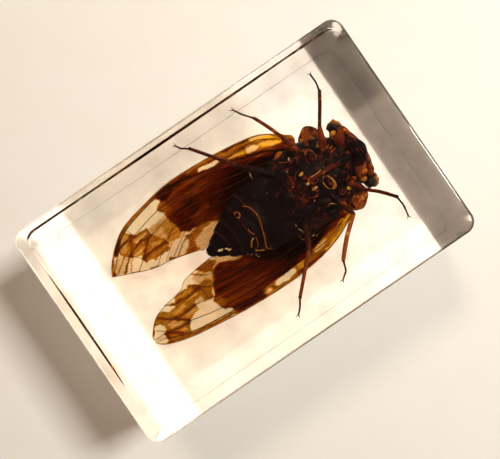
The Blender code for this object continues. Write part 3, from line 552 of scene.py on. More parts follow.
class ShellSettings(bpy.types.PropertyGroup):
    dark: FloatVectorProperty(
        name="Dark", description="Blackish shell", subtype="COLOR", default=tint(12, 6, 13)
    )
    rust: FloatVectorProperty(
        name="Rust", description="Thin brown shell", subtype="COLOR", default=tint(84, 30, 14)
    )
    orange: FloatVectorProperty(
        name="Orange", description="Leg shell", subtype="COLOR", default=tint(140, 72, 24)
    )
    ochre: FloatVectorProperty(
        name="Ochre", description="Ochre plates", subtype="COLOR", default=tint(168, 118, 44)
    )
    cream: FloatVectorProperty(
        name="Cream", description="Pale edges", subtype="COLOR", default=tint(178, 158, 130)
    )
    yellow: FloatVectorProperty(
        name="Yellow", description="Yellow spot", subtype="COLOR", default=tint(226, 184, 36)
    )
    gloss: FloatProperty(
        name="Roughness", description="Mean roughness of the shell", default=0.3, min=0, max=1
    )


class WingSettings(bpy.types.PropertyGroup):
    clear: FloatVectorProperty(
        name="Clear", description="Clear cells", subtype="COLOR", default=tint(244, 234, 204)
    )
    tan: FloatVectorProperty(
        name="Tan", description="Smoky cells", subtype="COLOR", default=tint(210, 174, 122)
    )
    amber: FloatVectorProperty(
        name="Amber", description="Amber cells", subtype="COLOR", default=tint(192, 138, 46)
    )
    brown: FloatVectorProperty(
        name="Brown", description="Brown patch", subtype="COLOR", default=tint(158, 101, 15)
    )
    russet: FloatVectorProperty(
        name="Russet", description="Stained lines", subtype="COLOR", default=tint(130, 62, 10)
    )
    dark: FloatVectorProperty(
        name="Dark", description="Dark inner half", subtype="COLOR", default=tint(100, 30, 5)
    )
    darkest: FloatVectorProperty(
        name="Darkest", description="Streaks", subtype="COLOR", default=tint(26, 3, 4)
    )
    gold: FloatVectorProperty(
        name="Gold", description="Root of the wing", subtype="COLOR", default=tint(240, 174, 26)
    )
    vein: FloatVectorProperty(name="Vein", description="Veins", subtype="COLOR", default=tint(44, 23, 9))


class StageSettings(bpy.types.PropertyGroup):
    table: FloatVectorProperty(
        name="Table", description="Pale table top", subtype="COLOR", default=(0.8, 0.78, 0.74)
    )
    head_light: FloatProperty(
        name="Head light", description="Lamp beyond the head", default=2.85, unit="POWER"
    )
    side_light: FloatProperty(
        name="Side light", description="Lamp beyond the side", default=0.77, unit="POWER"
    )
    inner_light: FloatProperty(
        name="Inner light", description="Light inside the block", default=5.0, unit="POWER"
    )
    room: FloatProperty(name="Room", description="Brightness of the room round it", default=0.1)
    room_warmth: FloatVectorProperty(
        name="Room warmth", description="Colour of the room", subtype="COLOR", default=(1.0, 0.57, 0.31)
    )
    height: FloatProperty(
        name="Camera height", description="From the table to the camera", default=94 * MM, unit="LENGTH"
    )
    lens: FloatProperty(name="Lens", description="Focal length in millimetres", default=34.4)


# ---------------------------------------------------------------- shader building


class Signal:
    """The output of a shader node. Sums, differences and products with it add Math nodes."""

    def __init__(self, finish, socket):
        self.finish = finish
        self.socket = socket

    def math(self, operation, first, second=0.0):
        return self.finish.node("ShaderNodeMath", {"operation": operation}, {0: first, 1: second})

    def __add__(self, other):
        return self.math("ADD", self, other)

    __radd__ = __add__

    def __sub__(self, other):
        return self.math("SUBTRACT", self, other)

    def __rsub__(self, other):
        return self.math("SUBTRACT", other, self)

    def __mul__(self, other):
        return self.math("MULTIPLY", self, other)

    __rmul__ = __mul__

    def over(self, low, high):
        """0 below low, 1 above high and smooth between them."""
        smooth = {"interpolation_type": "SMOOTHSTEP"}
        limits = {"Value": self, "From Min": low, "From Max": high}
        return self.finish.node("ShaderNodeMapRange", smooth, limits)


class Finish:
    """A material in the making: a Principled surface, its constants and what varies over it."""

    def __init__(self, name, constants):
        self.material = bpy.data.materials.new(name)
        self.material.use_nodes = True
        self.tree = self.material.node_tree
        self.surface = self.tree.nodes["Principled BSDF"]
        for socket, value in constants.items():
            self.surface.inputs[socket].default_value = value

    def node(self, kind, settings, inputs, output=0):
        """Adds a node with its settings, such as a ramp's stops, then the values and links of its sockets."""
        made = self.tree.nodes.new(kind)
        for name, value in settings.items():
            if name == "stops":
                ramp = made.color_ramp
                while len(ramp.elements) < len(value):
                    ramp.elements.new(1.0)
                for element, (position, shade) in zip(ramp.elements, value):
                    element.position = position
                    element.color = (*shade, 1)
            else:
                setattr(made, name, value)
        for name, value in inputs.items():
            if isinstance(value, Signal):
                self.tree.links.new(value.socket, made.inputs[name])
            else:
                made.inputs[name].default_value = value
        return Signal(self, made.outputs[output])

    def attribute(self, name):
        return self.node("ShaderNodeAttribute", {"attribute_name": name}, {}, "Fac")

    def place(self, stretch=(1, 1, 1)):
        """Object coordinates, stretched."""
        where = self.node("ShaderNodeTexCoord", {}, {}, "Object")
        return self.node("ShaderNodeMapping", {}, {"Vector": where, "Scale": stretch})

    def noise(self, where, size, detail=4.0, rough=0.55):
        """Cloudy noise whose marks are about size millimetres across."""
        inputs = {"Vector": where, "Scale": 1 / (size * MM), "Detail": detail, "Roughness": rough}
        return self.node("ShaderNodeTexNoise", {}, inputs)

    def blend(self, share, first, second):
        """A mix of two colours, each a tuple or a Signal."""
        first, second = ((*c, 1) if isinstance(c, tuple) else c for c in (first, second))
        return self.node("ShaderNodeMix", {"data_type": "RGBA"}, {0: share, 6: first, 7: second}, 2)

    def bump(self, height, strength, depth):
        inputs = {"Height": height, "Strength": strength, "Distance": depth * MM}
        return self.node("ShaderNodeBump", {}, inputs)

    def feed(self, socket, value):
        self.tree.links.new(value.socket, self.surface.inputs[socket])


def colour(values):
    """A colour property as a plain tuple."""
    return tuple(values[:3])


def resin_finish(settings):
    """Clear resin that tints with depth; a point attribute darkens its surface with painted shade along the
    back's round edge.
    """
    finish = Finish("clear_resin", {"Transmission Weight": 1.0, "IOR": settings.refraction, "Roughness": 0.0})
    worn = finish.attribute("worn")
    finish.feed("Base Color", finish.blend(worn, colour(settings.clarity), colour(settings.edge_shade_colour)))
    inputs = {"Color": (*settings.depth_tint, 1), "Density": settings.depth_density}
    depth = finish.node("ShaderNodeVolumeAbsorption", {}, inputs)
    finish.tree.links.new(depth.socket, finish.tree.nodes["Material Output"].inputs["Volume"])
    return finish.material


def shell_finish(settings):
    """Dried shell: its tone attribute runs from blackish through rust, orange and cream to yellow."""
    finish = Finish("cicada_shell", {"IOR": 1.3, "Specular IOR Level": 0.07})
    where = finish.place()
    clouds = finish.noise(where, 1.6)
    grain = finish.noise(where, 0.22, 6.0, 0.65)
    ahead = finish.node("ShaderNodeSeparateXYZ", {}, {"Vector": where}).over(8 * MM, 14 * MM)
    thin = finish.noise(where, 1.1, 5.0, 0.6).over(0.5, 0.68) * (0.1 + ahead * 0.16)
    base = finish.attribute("tone")
    tone = base + thin + (clouds - 0.5) * 0.16 + (grain - 0.5) * (0.12 + base * 0.35)
    stops = (
        (0.0, colour(settings.dark)), (0.2, colour(settings.dark)), (0.36, colour(settings.rust)),
        (0.54, colour(settings.orange)), (0.68, colour(settings.ochre)), (0.8, colour(settings.cream)),
        (0.92, colour(settings.cream)), (1.0, colour(settings.yellow)),
    )
    finish.feed("Base Color", finish.node("ShaderNodeValToRGB", {"stops": stops}, {"Fac": tone}))
    finish.feed("Roughness", settings.gloss + (grain - 0.5) * 0.5)
    wrinkles = finish.noise(finish.place((0.35, 1, 1)), 0.3, 3.0)
    finish.feed("Normal", finish.bump(grain * 0.6 + wrinkles, 0.8, 0.08))
    return finish.material


def film_finish(settings):
    """Wing film: light passes it and takes the colour of its stain."""
    finish = Finish("wing_film", {"Transmission Weight": 1.0, "IOR": 1.02, "Roughness": 0.0})
    along_wing, across_wing = finish.attribute("run") * 9, finish.attribute("across") * 44
    flow = finish.node("ShaderNodeCombineXYZ", {}, {"X": along_wing, "Y": across_wing})
    inputs = {"Vector": flow, "Scale": 1.0, "Detail": 4.0, "Roughness": 0.6}
    streaks = finish.node("ShaderNodeTexNoise", {}, inputs)
    clouds = finish.noise(finish.place(), 1.1, 3.0)
    stain = finish.attribute("stain")
    stain = stain + ((streaks - 0.5) * 0.8 + (clouds - 0.5) * 0.3) * stain.over(0.05, 0.6)
    stops = (
        (0.0, colour(settings.clear)), (0.27, colour(settings.tan)), (0.35, colour(settings.amber)),
        (0.48, colour(settings.brown)), (0.64, colour(settings.russet)), (0.82, colour(settings.dark)),
        (1.0, colour(settings.darkest)),
    )
    stained = finish.node("ShaderNodeValToRGB", {"stops": stops}, {"Fac": stain})
    gold = finish.attribute("gold") * (1 - stain.over(0.55, 0.85)) * (streaks.over(0.4, 0.58) * 0.85 + 0.15)
    finish.feed("Base Color", finish.blend(gold, stained, colour(settings.gold)))
    return finish.material


def vein_finish(settings):
    """Veins: near black, and brown where their tone attribute is high."""
    finish = Finish("wing_vein", {"IOR": 1.3, "Roughness": 0.5, "Specular IOR Level": 0.05})
    where = finish.place()
    brown = finish.attribute("tone") * finish.noise(where, 1.4, 3.0).over(0.3, 0.6)
    finish.feed("Base Color", finish.blend(brown, colour(settings.vein), colour(settings.brown)))
    finish.feed("Normal", finish.bump(finish.noise(where, 0.2), 0.3, 0.03))
    return finish.material


def eye_finish():
    """Domed eyes: blackish facets with an amber glow at the rim."""
    finish = Finish("cicada_eye", {"IOR": 1.35, "Roughness": 0.35, "Specular IOR Level": 0.2})
    glow = (finish.attribute("tone") + (finish.noise(finish.place(), 0.8) - 0.5) * 0.6).over(0.55, 0.95)
    finish.feed("Base Color", finish.blend(glow, tint(30, 26, 30), tint(172, 112, 30)))
    facets = finish.node("ShaderNodeTexVoronoi", {}, {"Vector": finish.place(), "Scale": 1 / (0.09 * MM)})
    finish.feed("Normal", finish.bump(facets, 0.4, 0.02))
    return finish.material


def table_finish(name, shade, stain, size, share):
    """A pale table top, mottled with blotches of a size in mm: faint marks on the open table, painted light
    and shade on the patch under the block.
    """
    finish = Finish(name, {"Roughness": 0.6, "Specular IOR Level": 0.3})
    mottle = finish.noise(finish.place(), size, 3.0)
    finish.feed("Base Color", finish.blend(mottle.over(0.3, 0.75) * share, shade, stain))
    return finish.material


# ---------------------------------------------------------------- shapes


def along(points, share):
    """The place at a share of the way along a smooth curve through the points."""
    spot = min(max(share, 0.0), 1.0) * (len(points) - 1)
    i = min(int(spot), len(points) - 2)
    t = spot - i
    a, b, c, d = (Vector(points[min(max(i + k, 0), len(points) - 1)]) for k in (-1, 0, 1, 2))
    square, cube = 2 * a - 5 * b + 4 * c - d, 3 * b - a - 3 * c + d
    return 0.5 * (2 * b + (c - a) * t + square * t * t + cube * t ** 3)


def new_shape(*layers):
    """An empty shape whose points carry the named values."""
    mesh = bmesh.new()
    for layer in layers:
        mesh.verts.layers.float.new(layer)
    return mesh


def wrap(mesh, stations, sides, place, tone):
    """Bends a grid into a closed skin: place(share, turn) gives each point in mm. Both run from 0 to 1."""
    layer = mesh.verts.layers.float["tone"]
    verts = bmesh.ops.create_grid(mesh, x_segments=stations, y_segments=sides, size=0.5)["verts"]
    for vertex in verts:
        share, turn = vertex.co.x + 0.5, vertex.co.y + 0.5
        vertex[layer] = tone(share) if callable(tone) else tone
        vertex.co = place(share, turn) * MM
    bmesh.ops.remove_doubles(mesh, verts=verts, dist=WELD)


def rod(mesh, points, radii, tone, stations=24, sides=12, flat=1.0):
    """A bar with rounded ends along a smooth curve, with one radius or several. Flat squeezes its height."""
    rows = [(r, 0) for r in radii] if isinstance(radii, (tuple, list)) else [(radii, 0), (radii, 0)]
    reach = sum((Vector(b) - Vector(a)).length for a, b in zip(points, points[1:]))

    def place(share, turn):
        eased = (1 - cos(pi * share)) / 2
        centre = along(points, eased)
        ahead = (along(points, eased + 0.01) - along(points, eased - 0.01)).normalized()
        side = Vector((ahead.y, -ahead.x, 0)).normalized()
        up = side.cross(ahead)
        radius = along(rows, eased).x
        end = min(eased, 1 - eased) * reach / max(radius, 1e-6)
        radius *= sqrt(max(0.0, 1 - (1 - min(end, 1)) ** 2))
        angle = 2 * pi * turn
        return centre + side * radius * cos(angle) + up * radius * flat * sin(angle)

    wrap(mesh, stations, sides, place, tone)


def pad(mesh, centre, radii, turn, tone, rim=None, ring=0.35, detail=3):
    """A rounded pad of shell, whose rim may have another tone at a share of its height."""
    layer = mesh.verts.layers.float["tone"]
    verts = bmesh.ops.create_icosphere(mesh, subdivisions=detail, radius=1)["verts"]
    shape = Matrix.Translation(Vector(centre) * MM) @ Matrix.Rotation(radians(turn), 4, "Z")
    shape = shape @ Matrix.Diagonal((*(Vector(radii) * MM), 1))
    for vertex in verts:
        edge = exp(-(((vertex.co.z - ring) / 0.16) ** 2))
        vertex[layer] = tone + ((tone if rim is None else rim) - tone) * edge
        swell = 1 + 0.2 * noise.noise(vertex.co * 2.0 + Vector(centre)) + 0.1 * noise.noise(vertex.co * 6.0)
        vertex.co = shape @ (vertex.co * swell)


def settle(name, mesh, material):
    """Turns a shape into a finished piece at the origin, riding with the block."""
    bmesh.ops.recalc_face_normals(mesh, faces=mesh.faces)
    data = bpy.data.meshes.new(name)
    mesh.to_mesh(data)
    mesh.free()
    data.materials.append(material)
    data.shade_smooth()
    data.set_sharp_from_angle(angle=SHARP)
    piece = bpy.data.objects.new(name, data)
    bpy.context.scene.collection.objects.link(piece)
    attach(piece, "root")
    return piece


def trunk_row(x):
    """Half width, back and belly height of the trunk at a place along it."""
    for low, high in zip(TRUNK, TRUNK[1:]):
        if low[0] <= x <= high[0]:
            t = (x - low[0]) / (high[0] - low[0])
            return [a + (b - a) * t for a, b in zip(low[1:], high[1:])]
    return TRUNK[-2][1:]


def belly_height(x, y):
    """Height of the trunk's belly side at a place."""
    half, back, belly = trunk_row(x)
    across = min(abs(y - AXIS_Y) / half, 0.995)
    return (back + belly) / 2 + (belly - back) / 2 * (1 - across ** 2) ** 0.5


def on_wing(point, height):
    """A place drawn on a wing, put at its real place, with the wing's height there."""
    spot = WING_PIN + (Vector(point) - WING_PIN) * WING_GROWTH
    return Vector((spot.x, spot.y, wing_height(spot.x, spot.y, height)))


def wing_height(x, y, height):
    """The wings arch a little between their edges and droop at their tips."""
    across = (abs(y - WINGS_Y) - CAMBER_OUT) / CAMBER_HALF
    return height + CAMBER * max(0.0, 1 - across * across) - DROOP * max(0.0, -x - DROOP_START) / DROOP_RUN


def distance_to_line(x, y, line):
    """Distance of many points from a bent line."""
    best = np.full(x.shape, 1e9)
    for (ax, ay), (bx, by) in zip(line, line[1:]):
        dx, dy = bx - ax, by - ay
        t = np.clip(((x - ax) * dx + (y - ay) * dy) / (dx * dx + dy * dy), 0, 1)
        best = np.minimum(best, np.hypot(x - ax - t * dx, y - ay - t * dy))
    return best


def inside(x, y, outline):
    """Which of many points lie in a closed outline."""
    odd = np.zeros(x.shape, bool)
    for (ax, ay), (bx, by) in zip(outline, outline[1:] + outline[:1]):
        crosses = (ay > y) != (by > y)
        odd ^= crosses & (x < (bx - ax) * (y - ay) / ((by - ay) or 1e-9) + ax)
    return odd


def drift(x, y, scale, seed):
    """Smooth random vectors at many points."""
    return np.array([noise.noise_vector(Vector((a * scale, b * scale, seed))) for a, b in zip(x, y)])


def stain_wing(x, y, side):
    """Stain and gold of a forewing at many points, painted area by area and then line by line."""
    x, y = (x - WING_PIN.x) / WING_GROWTH + WING_PIN.x, (y - WING_PIN.y) / WING_GROWTH + WING_PIN.y
    wander = drift(x, y, WANDER_COARSE, 0) + 0.5 * drift(x, y, WANDER_FINE, 5)
    x, y = x + WANDER * wander[:, 0], y + WANDER * wander[:, 1]
    stain, gold = np.full(x.shape, BARE), np.zeros(x.shape)
    for depth, yellow, soft, *outline in AREAS[side]:
        edge = distance_to_line(x, y, outline + outline[:1])
        cover = np.clip(0.5 + np.where(inside(x, y, outline), edge, -edge) / soft, 0, 1)
        stain += (depth - stain) * cover
        gold += (yellow - gold) * cover
    for depth, width, *line in STROKES[side]:
        cover = LINE_COVER * np.clip((width / 2 - distance_to_line(x, y, line)) / LINE_SOFT + 0.5, 0, 1)
        stain += (depth - stain) * cover
    for _, *line in VEINS[side]:
        halo = np.exp(-distance_to_line(x, y, line) / HALO_REACH)
        stain += (1 - stain) * halo * HALO_DEPTH * np.clip(stain * 2.4 - 0.9, 0, 1)
    return stain, gold


def film(lead, rear, height, paint, steps, chords):
    """A thin film between a leading and a rear edge, closed like a lens. paint gives its stain and gold."""
    mesh = new_shape("stain", "gold", "run", "across")
    layers = [mesh.verts.layers.float[layer] for layer in ("stain", "gold")]
    run, across = (mesh.verts.layers.float[layer] for layer in ("run", "across"))
    verts = bmesh.ops.create_grid(mesh, x_segments=steps, y_segments=2 * chords, size=0.5)["verts"]
    for vertex in verts:
        share, turn = vertex.co.x + 0.5, 2 * vertex.co.y
        spot = along(lead, share).lerp(along(rear, share), 1 - abs(turn))
        rise = FILM / 2 * min(1, chords * (1 - abs(turn)), chords * abs(turn))
        rise = wing_height(spot.x, spot.y, height) + (rise if turn > 0 else -rise)
        vertex.co = (spot.x * MM, spot.y * MM, rise * MM)
        vertex[run], vertex[across] = share, 1 - abs(turn)
    flat = np.array([vertex.co for vertex in verts]) / MM
    for layer, values in zip(layers, paint(flat[:, 0], flat[:, 1])):
        for vertex, value in zip(verts, values):
            vertex[layer] = value
    bmesh.ops.remove_doubles(mesh, verts=verts, dist=WELD)
    return mesh


# ---------------------------------------------------------------- pieces


def rounded_outline(radius, lip):
    """A rounded rectangle seen from above as places and outward directions. Its straight sides have points
    close to each end and some between them."""
    half_x = (BLOCK_HIGH.x - BLOCK_LOW.x) / 2 - radius
    half_y = (BLOCK_HIGH.y - BLOCK_LOW.y) / 2 - radius
    points = []
    corners = ((half_x, half_y), (-half_x, half_y), (-half_x, -half_y), (half_x, -half_y))
    for turn, (x, y) in enumerate(corners):
        angles = [turn * pi / 2 + pi / 2 * i / CORNER_STEPS for i in range(CORNER_STEPS + 1)]
        arc = [(Vector((x + radius * cos(a), y + radius * sin(a), 0)), a) for a in angles]
        first, last = angles[0], angles[-1]
        points.append((arc[0][0] + Vector((sin(first), -cos(first), 0)) * lip, first))
        points.extend(arc)
        run = Vector((-sin(last), cos(last), 0))
        length = 2 * (half_x if turn % 2 == 0 else half_y)
        gaps = [lip + (length - 3 * lip) * i / SIDE_STEPS for i in range(SIDE_STEPS)]
        points.extend((arc[-1][0] + run * gap, last) for gap in gaps)
    return points


def resin_rings(settings):
    """Outlines of the block from the flat it rests on to its flat back, with the seam round its sides."""
    lip = LIP * MM
    height = BLOCK_HIGH.z - BLOCK_LOW.z
    front, back = settings.front_round, settings.back_round
    outline = rounded_outline(settings.corner, lip)

    def ring(inset, rise):
        return [spot + Vector((-cos(a) * inset, -sin(a) * inset, rise)) for spot, a in outline]

    def seam_ring(share):
        """The seam is on the side the insect's left wing points to and, thinner, beyond the tail."""
        points = []
        for spot, a in outline:
            side, tail = max(0.0, sin(a)) ** 2, max(0.0, -cos(a)) ** 2
            wide = settings.seam_width * (1 - SEAM_SPREAD * cos(2 * a))
            off = min(1, abs(spot.y / MM - SEAM_TAIL_Y) / SEAM_TAIL_HALF)
            cut = SEAM_AT_SIDE * side + SEAM_AT_TAIL * tail * cos(pi / 2 * off) ** 0.5
            deep = settings.seam_depth * cut * (1 + cos(2 * pi * min(abs(share), 0.5))) / 2
            rise = settings.seam_tail + (settings.seam_side - settings.seam_tail) * side + wide * share
            points.append(spot + Vector((-cos(a) * deep, -sin(a) * deep, rise)))
        return points

    rings = [ring(front + lip, 0)]
    for i in range(FRONT_STEPS + 1):
        angle = pi / 2 * i / FRONT_STEPS
        rings.append(ring(front * (1 - sin(angle)), front * (1 - cos(angle))))
    rings.append(ring(0, front + lip))
    half = SEAM_STEPS // 2
    rings.extend(seam_ring(i / SEAM_STEPS) for i in range(-half - 1, half + 2))
    rings.append(ring(settings.lean, height - settings.back_fall - lip))
    for i in range(BACK_STEPS + 1):
        angle = pi / 2 * i / BACK_STEPS
        inset, fall = settings.lean + back * (1 - cos(angle)), settings.back_fall * (1 - sin(angle))
        rings.append(ring(inset, height - fall))
    rings.append(ring(settings.lean + back + lip, height))
    return rings


def painted_edge_shade(spot, settings):
    """How much painted shade the resin takes at a place: only on the round of the back, and most on the
    insect's right.
    """
    low = (BLOCK_HIGH.z - BLOCK_LOW.z - spot.z) / settings.back_fall
    away = Vector((spot.x, spot.y, 0)).normalized()
    return (EDGE_SHADE_MEAN + EDGE_SHADE_SWING * (away.x * 0.5 - away.y)) * min(1, 3 * sin(pi * min(low, 1)))


def make_resin(settings):
    """The block, drawn up ring by ring from the flat it rests on."""
    rings = resin_rings(settings)
    mesh = new_shape("worn")
    loop = bmesh.ops.create_circle(mesh, cap_ends=True, segments=len(rings[0]), radius=1)["verts"]
    for vertex, point in zip(loop, rings[0]):
        vertex.co = point
    edges = mesh.edges[:]
    for ring in rings[1:]:
        made = bmesh.ops.extrude_edge_only(mesh, edges=edges)["geom"]
        new = {part for part in made if isinstance(part, bmesh.types.BMVert)}
        loop = [next(e.other_vert(v) for e in v.link_edges if e.other_vert(v) in new) for v in loop]
        edges = [part for part in made if isinstance(part, bmesh.types.BMEdge) and set(part.verts) <= new]
        for vertex, point in zip(loop, ring):
            vertex.co = point
    bmesh.ops.contextual_create(mesh, geom=edges)
    # Painted shade on the back's round edge, standing for its dark outline.
    layer = mesh.verts.layers.float["worn"]
    for vertex in mesh.verts:
        vertex[layer] = painted_edge_shade(vertex.co, settings)
    piece = settle("resin_block", mesh, resin_finish(settings))
    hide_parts("resin_lower_half", "resin_upper_half")


def make_trunk(material):
    """Abdomen and thorax, each abdomen ring ending over the next towards the tail."""
    rows = len(TRUNK) - 1

    def place(share, turn):
        x, half, back, belly = along(TRUNK, share)
        spot = share * rows
        lift = 0.0
        if FIRST_RING - 1 <= spot < LAST_RING:
            lift = RING_STEP * (1 - (spot - int(spot))) ** RING_CURL - RING_SINK
        angle = 2 * pi * turn
        up = max(0.0, sin(angle))
        fade = min(1.0, max(0.0, (spot - 1) / 2)) * min(1.0, max(0.0, (9 - spot) / 3))
        x += RING_BOW * up * up * fade
        rough = DENTS * noise.noise(Vector((x * 0.9, cos(angle) * 3, sin(angle) * 3))) * min(1, half)
        near = cos(angle) * half / FURROW_WIDTH
        furrow = -FURROW * exp(-(near ** 2)) * (sin(angle) > 0) * min(1, half / 3)
        half, tall = half + lift + rough, (belly - back) / 2 + lift + rough + furrow
        return Vector((x, AXIS_Y + half * cos(angle), (belly + back) / 2 + tall * sin(angle)))

    def tone(share):
        spot = share * rows
        if not FIRST_RING <= spot < LAST_RING:
            return 0.05 + 0.17 * exp(-(((spot - BREAST_ROW) / 1.1) ** 2))
        return 0.05 + 0.24 * exp(-(spot - int(spot)) * 9)

    mesh = new_shape("tone")
    wrap(mesh, TRUNK_STEPS * rows, TRUNK_SIDES, place, tone)
    piece = settle("cicada_trunk", mesh, material)
    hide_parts("cicada")


def make_belly_plates(material):
    """The pads, pale flecks that are partly painted glints, and raised lines on the belly side."""
    mesh = new_shape("tone")
    for x, y, long, wide, tall, turn, tone, rim, sink in PADS:
        pad(mesh, (x, y, belly_height(x, y) - sink), (long, wide, tall), turn, tone, rim, sink / tall + 0.12)
    # Pale flecks, partly painted glints.
    for x, y, half, turn, tone in FLECKS_AND_GLINTS:
        centre, radii = (x, y, belly_height(x, y) + FLECK_RISE), (half, half * FLECK_WIDTH, FLECK_HEIGHT)
        pad(mesh, centre, radii, turn, tone, detail=2)
    for radius, tone, *line in RIDGES:
        points = [(x, y, belly_height(x, y) + RIDGE_RISE) for x, y in line]
        rod(mesh, points, radius, tone, stations=6 * len(points), sides=8)
    settle("cicada_belly_plates", mesh, material)


def make_collar(material):
    """The collar behind the head with its flared corners."""
    mesh = new_shape("tone")
    layer = mesh.verts.layers.float["tone"]
    count = COLLAR_STEPS * len(COLLAR)
    closed = COLLAR[-2:] + COLLAR + COLLAR[:3]
    first = 2 / (len(closed) - 1)
    step = len(COLLAR) / (len(closed) - 1) / count
    places = [along(closed, first + i * step) * MM for i in range(count)]
    ring = [mesh.verts.new((*place, COLLAR_BASE * MM)) for place in places]
    face = mesh.faces.new(ring)
    top = bmesh.ops.extrude_face_region(mesh, geom=[face])["geom"]
    raised = [part for part in top if isinstance(part, bmesh.types.BMVert)]
    bmesh.ops.translate(mesh, verts=raised, vec=(0, 0, COLLAR_THICK * MM))
    rims = [e for e in mesh.edges if len({round(v.co.z, 6) for v in e.verts}) == 1]
    bmesh.ops.bevel(
        mesh, geom=rims, offset=COLLAR_ROUND * MM, segments=5, profile=0.5, affect="EDGES", material=-1,
        clamp_overlap=True,
    )
    bmesh.ops.subdivide_edges(mesh, edges=mesh.edges, cuts=2, use_grid_fill=True)
    for vertex in mesh.verts:
        out = abs(vertex.co.y / MM - AXIS_Y)
        flare = min(1, max(0, (out - FLARE_START) / FLARE_RUN))
        patch = noise.noise(vertex.co / MM * 0.9) + 0.5 * noise.noise(vertex.co / MM * 2.6)
        right = 0.12 * (vertex.co.y < 0)
        vertex[layer] = 0.08 + flare * (0.22 + right + 0.34 * patch)
        vertex.co.z += (0.4 * patch - 0.1) * MM
    settle("cicada_collar", mesh, material)


def make_head(material):
    """Head, ridged face, cheeks, feelers and the beak that lies back between the legs."""
    mesh = new_shape("tone")

    def skull(share, turn):
        swing, angle = pi * share, 2 * pi * turn
        across, round_ = cos(swing), sin(swing) ** 0.75
        bulge = SKULL_BULGE * (1 - across * across)
        (x, y, z), (ahead, wide, tall) = SKULL, SKULL_RADII
        return Vector((
            x + bulge + ahead * round_ * cos(angle), y + wide * across, z + tall * round_ * sin(angle) + bulge
        ))

    def face(share, turn):
        swing, angle = pi * share, 2 * pi * turn
        ridge = FACE_RIDGE_RISE * sin(share * FACE_RIDGES) * max(0.0, sin(angle)) * (abs(cos(angle)) > 0.15)
        round_ = sin(swing) + ridge
        (x, y, z), (ahead, wide, tall) = FACE, FACE_RADII
        across, up = round_ * cos(angle), round_ * sin(angle)
        return Vector((x - ahead * cos(swing), y + wide * across, z + tall * up))

    wrap(mesh, 48, 40, skull, 0.21)
    wrap(mesh, 90, 40, face, lambda share: 0.13 + 0.04 * max(0.0, sin(share * FACE_RIDGES)))
    for side in (1, -1):
        for x, out, z, radii, turn, tone in CHEEKS:
            pad(mesh, (x, AXIS_Y + side * out, z), radii, side * turn, tone)
        feeler = [(x, AXIS_Y + side * out, z) for x, out, z in FEELER]
        rod(mesh, feeler, (0.16, 0.08, 0.03), 0.2, sides=8)
    rod(mesh, BEAK_ROOT, (0.75, 0.7, 0.42), 0.16, 26, 16, 0.8)
    rod(mesh, BEAK_TIP, (0.4, 0.3, 0.16), 0.3, 26, 12)
    settle("cicada_head", mesh, material)


def make_eyes(material):
    """The two domed eyes, brighter in front and outside."""
    mesh = new_shape("tone")
    layer = mesh.verts.layers.float["tone"]
    for side, x in EYE_PLACES:
        before = len(mesh.verts)
        pad(mesh, (x, AXIS_Y + side * EYE_OUT, EYE_HEIGHT), EYE_RADII, side * 18, 0, detail=4)
        mesh.verts.ensure_lookup_table()
        for vertex in mesh.verts[before:]:
            ahead = (vertex.co.x / MM - x) / EYE_RADII[0]
            out = side * (vertex.co.y / MM - AXIS_Y) - EYE_OUT
            vertex[layer] = 0.45 + 0.36 * ahead + 0.24 * out
    settle("cicada_eyes", mesh, material)


def make_legs(material):
    """Six legs, each with its thigh, shin, a foot in two parts, two claws and the shin's spines."""
    mesh = new_shape("tone")
    for name, route in LEGS.items():
        thigh, shin, foot = LEG_TONES[name]
        hip, knee, bend, ankle, joint, tip = (Vector(point) for point in route)
        shin_radii = [radius * (STOUT if name == STOUT_LEG else 1.0) for radius in SHIN]
        middle = hip.lerp(knee, 0.5) + Vector((0, 0, THIGH_LIFT))
        rod(mesh, (hip, middle, knee), THIGH, lambda share: thigh * min(1, 0.35 + share), 24, 14, THIGH_FLAT)
        pad(mesh, knee, KNEE_PAD, 0, thigh, detail=2)
        rod(mesh, (knee, bend, ankle), shin_radii, shin, 30, 12)
        pad(mesh, ankle, ANKLE_PAD, 0, shin * 0.8, detail=2)
        rod(mesh, (ankle, ankle.lerp(joint, 0.5), joint), FOOT, foot, 16, 10)
        rod(mesh, (joint, joint.lerp(tip, 0.6), tip), TOE, foot, 18, 10)
        ahead = (tip - joint).normalized()
        for turn in CLAW_TURNS:
            side = Matrix.Rotation(turn, 3, "Z") @ ahead
            point = tip + side * 0.5 + ahead * 0.12 - Vector((0, 0, 0.1))
            rod(mesh, (tip - side * 0.05, tip + side * 0.32, point), CLAW, foot * 0.7, 12, 8)
        run = (ankle - knee).normalized()
        across = Vector((run.y, -run.x, 0))
        for i, where in enumerate(SPINE_PLACES):
            root = along((knee, bend, ankle), where)
            tilt = (across if i % 2 else -across) * SPINE_OUT + run * SPINE_AHEAD
            rod(mesh, (root, root + tilt * 0.5, root + tilt), SPINE, foot, 8, 6)
    settle("cicada_legs", mesh, material)


def make_forewing(side, film_material, vein_material):
    """A forewing's film, and its edges and veins as a piece of their own."""
    mesh = film(LEADING[side], REAR[side], FORE_HEIGHT, lambda x, y: stain_wing(x, y, side), 230, 80)
    settle(f"forewing_{side}", mesh, film_material)
    veins = new_shape("tone")
    edge, hem = (
        [(x, y, wing_height(x, y, FORE_HEIGHT) + VEIN_RISE) for x, y in line[1:]]
        for line in (LEADING[side], REAR[side])
    )
    rod(veins, edge, EDGE_RADII, EDGE_TONE[side], 150, 10)
    rod(veins, hem, HEM_RADII, 0.0, 110, 8)
    for radius, *line in VEINS[side]:
        points = [on_wing(point, FORE_HEIGHT + VEIN_RISE) for point in line]
        root = float(radius > STOUT_VEIN)
        steps = 10 * len(points)
        rod(veins, points, radius * VEIN_SHARE, lambda share: root * max(0.0, 1 - share * 4), steps, 8)
    settle(f"forewing_veins_{side}", veins, vein_material)


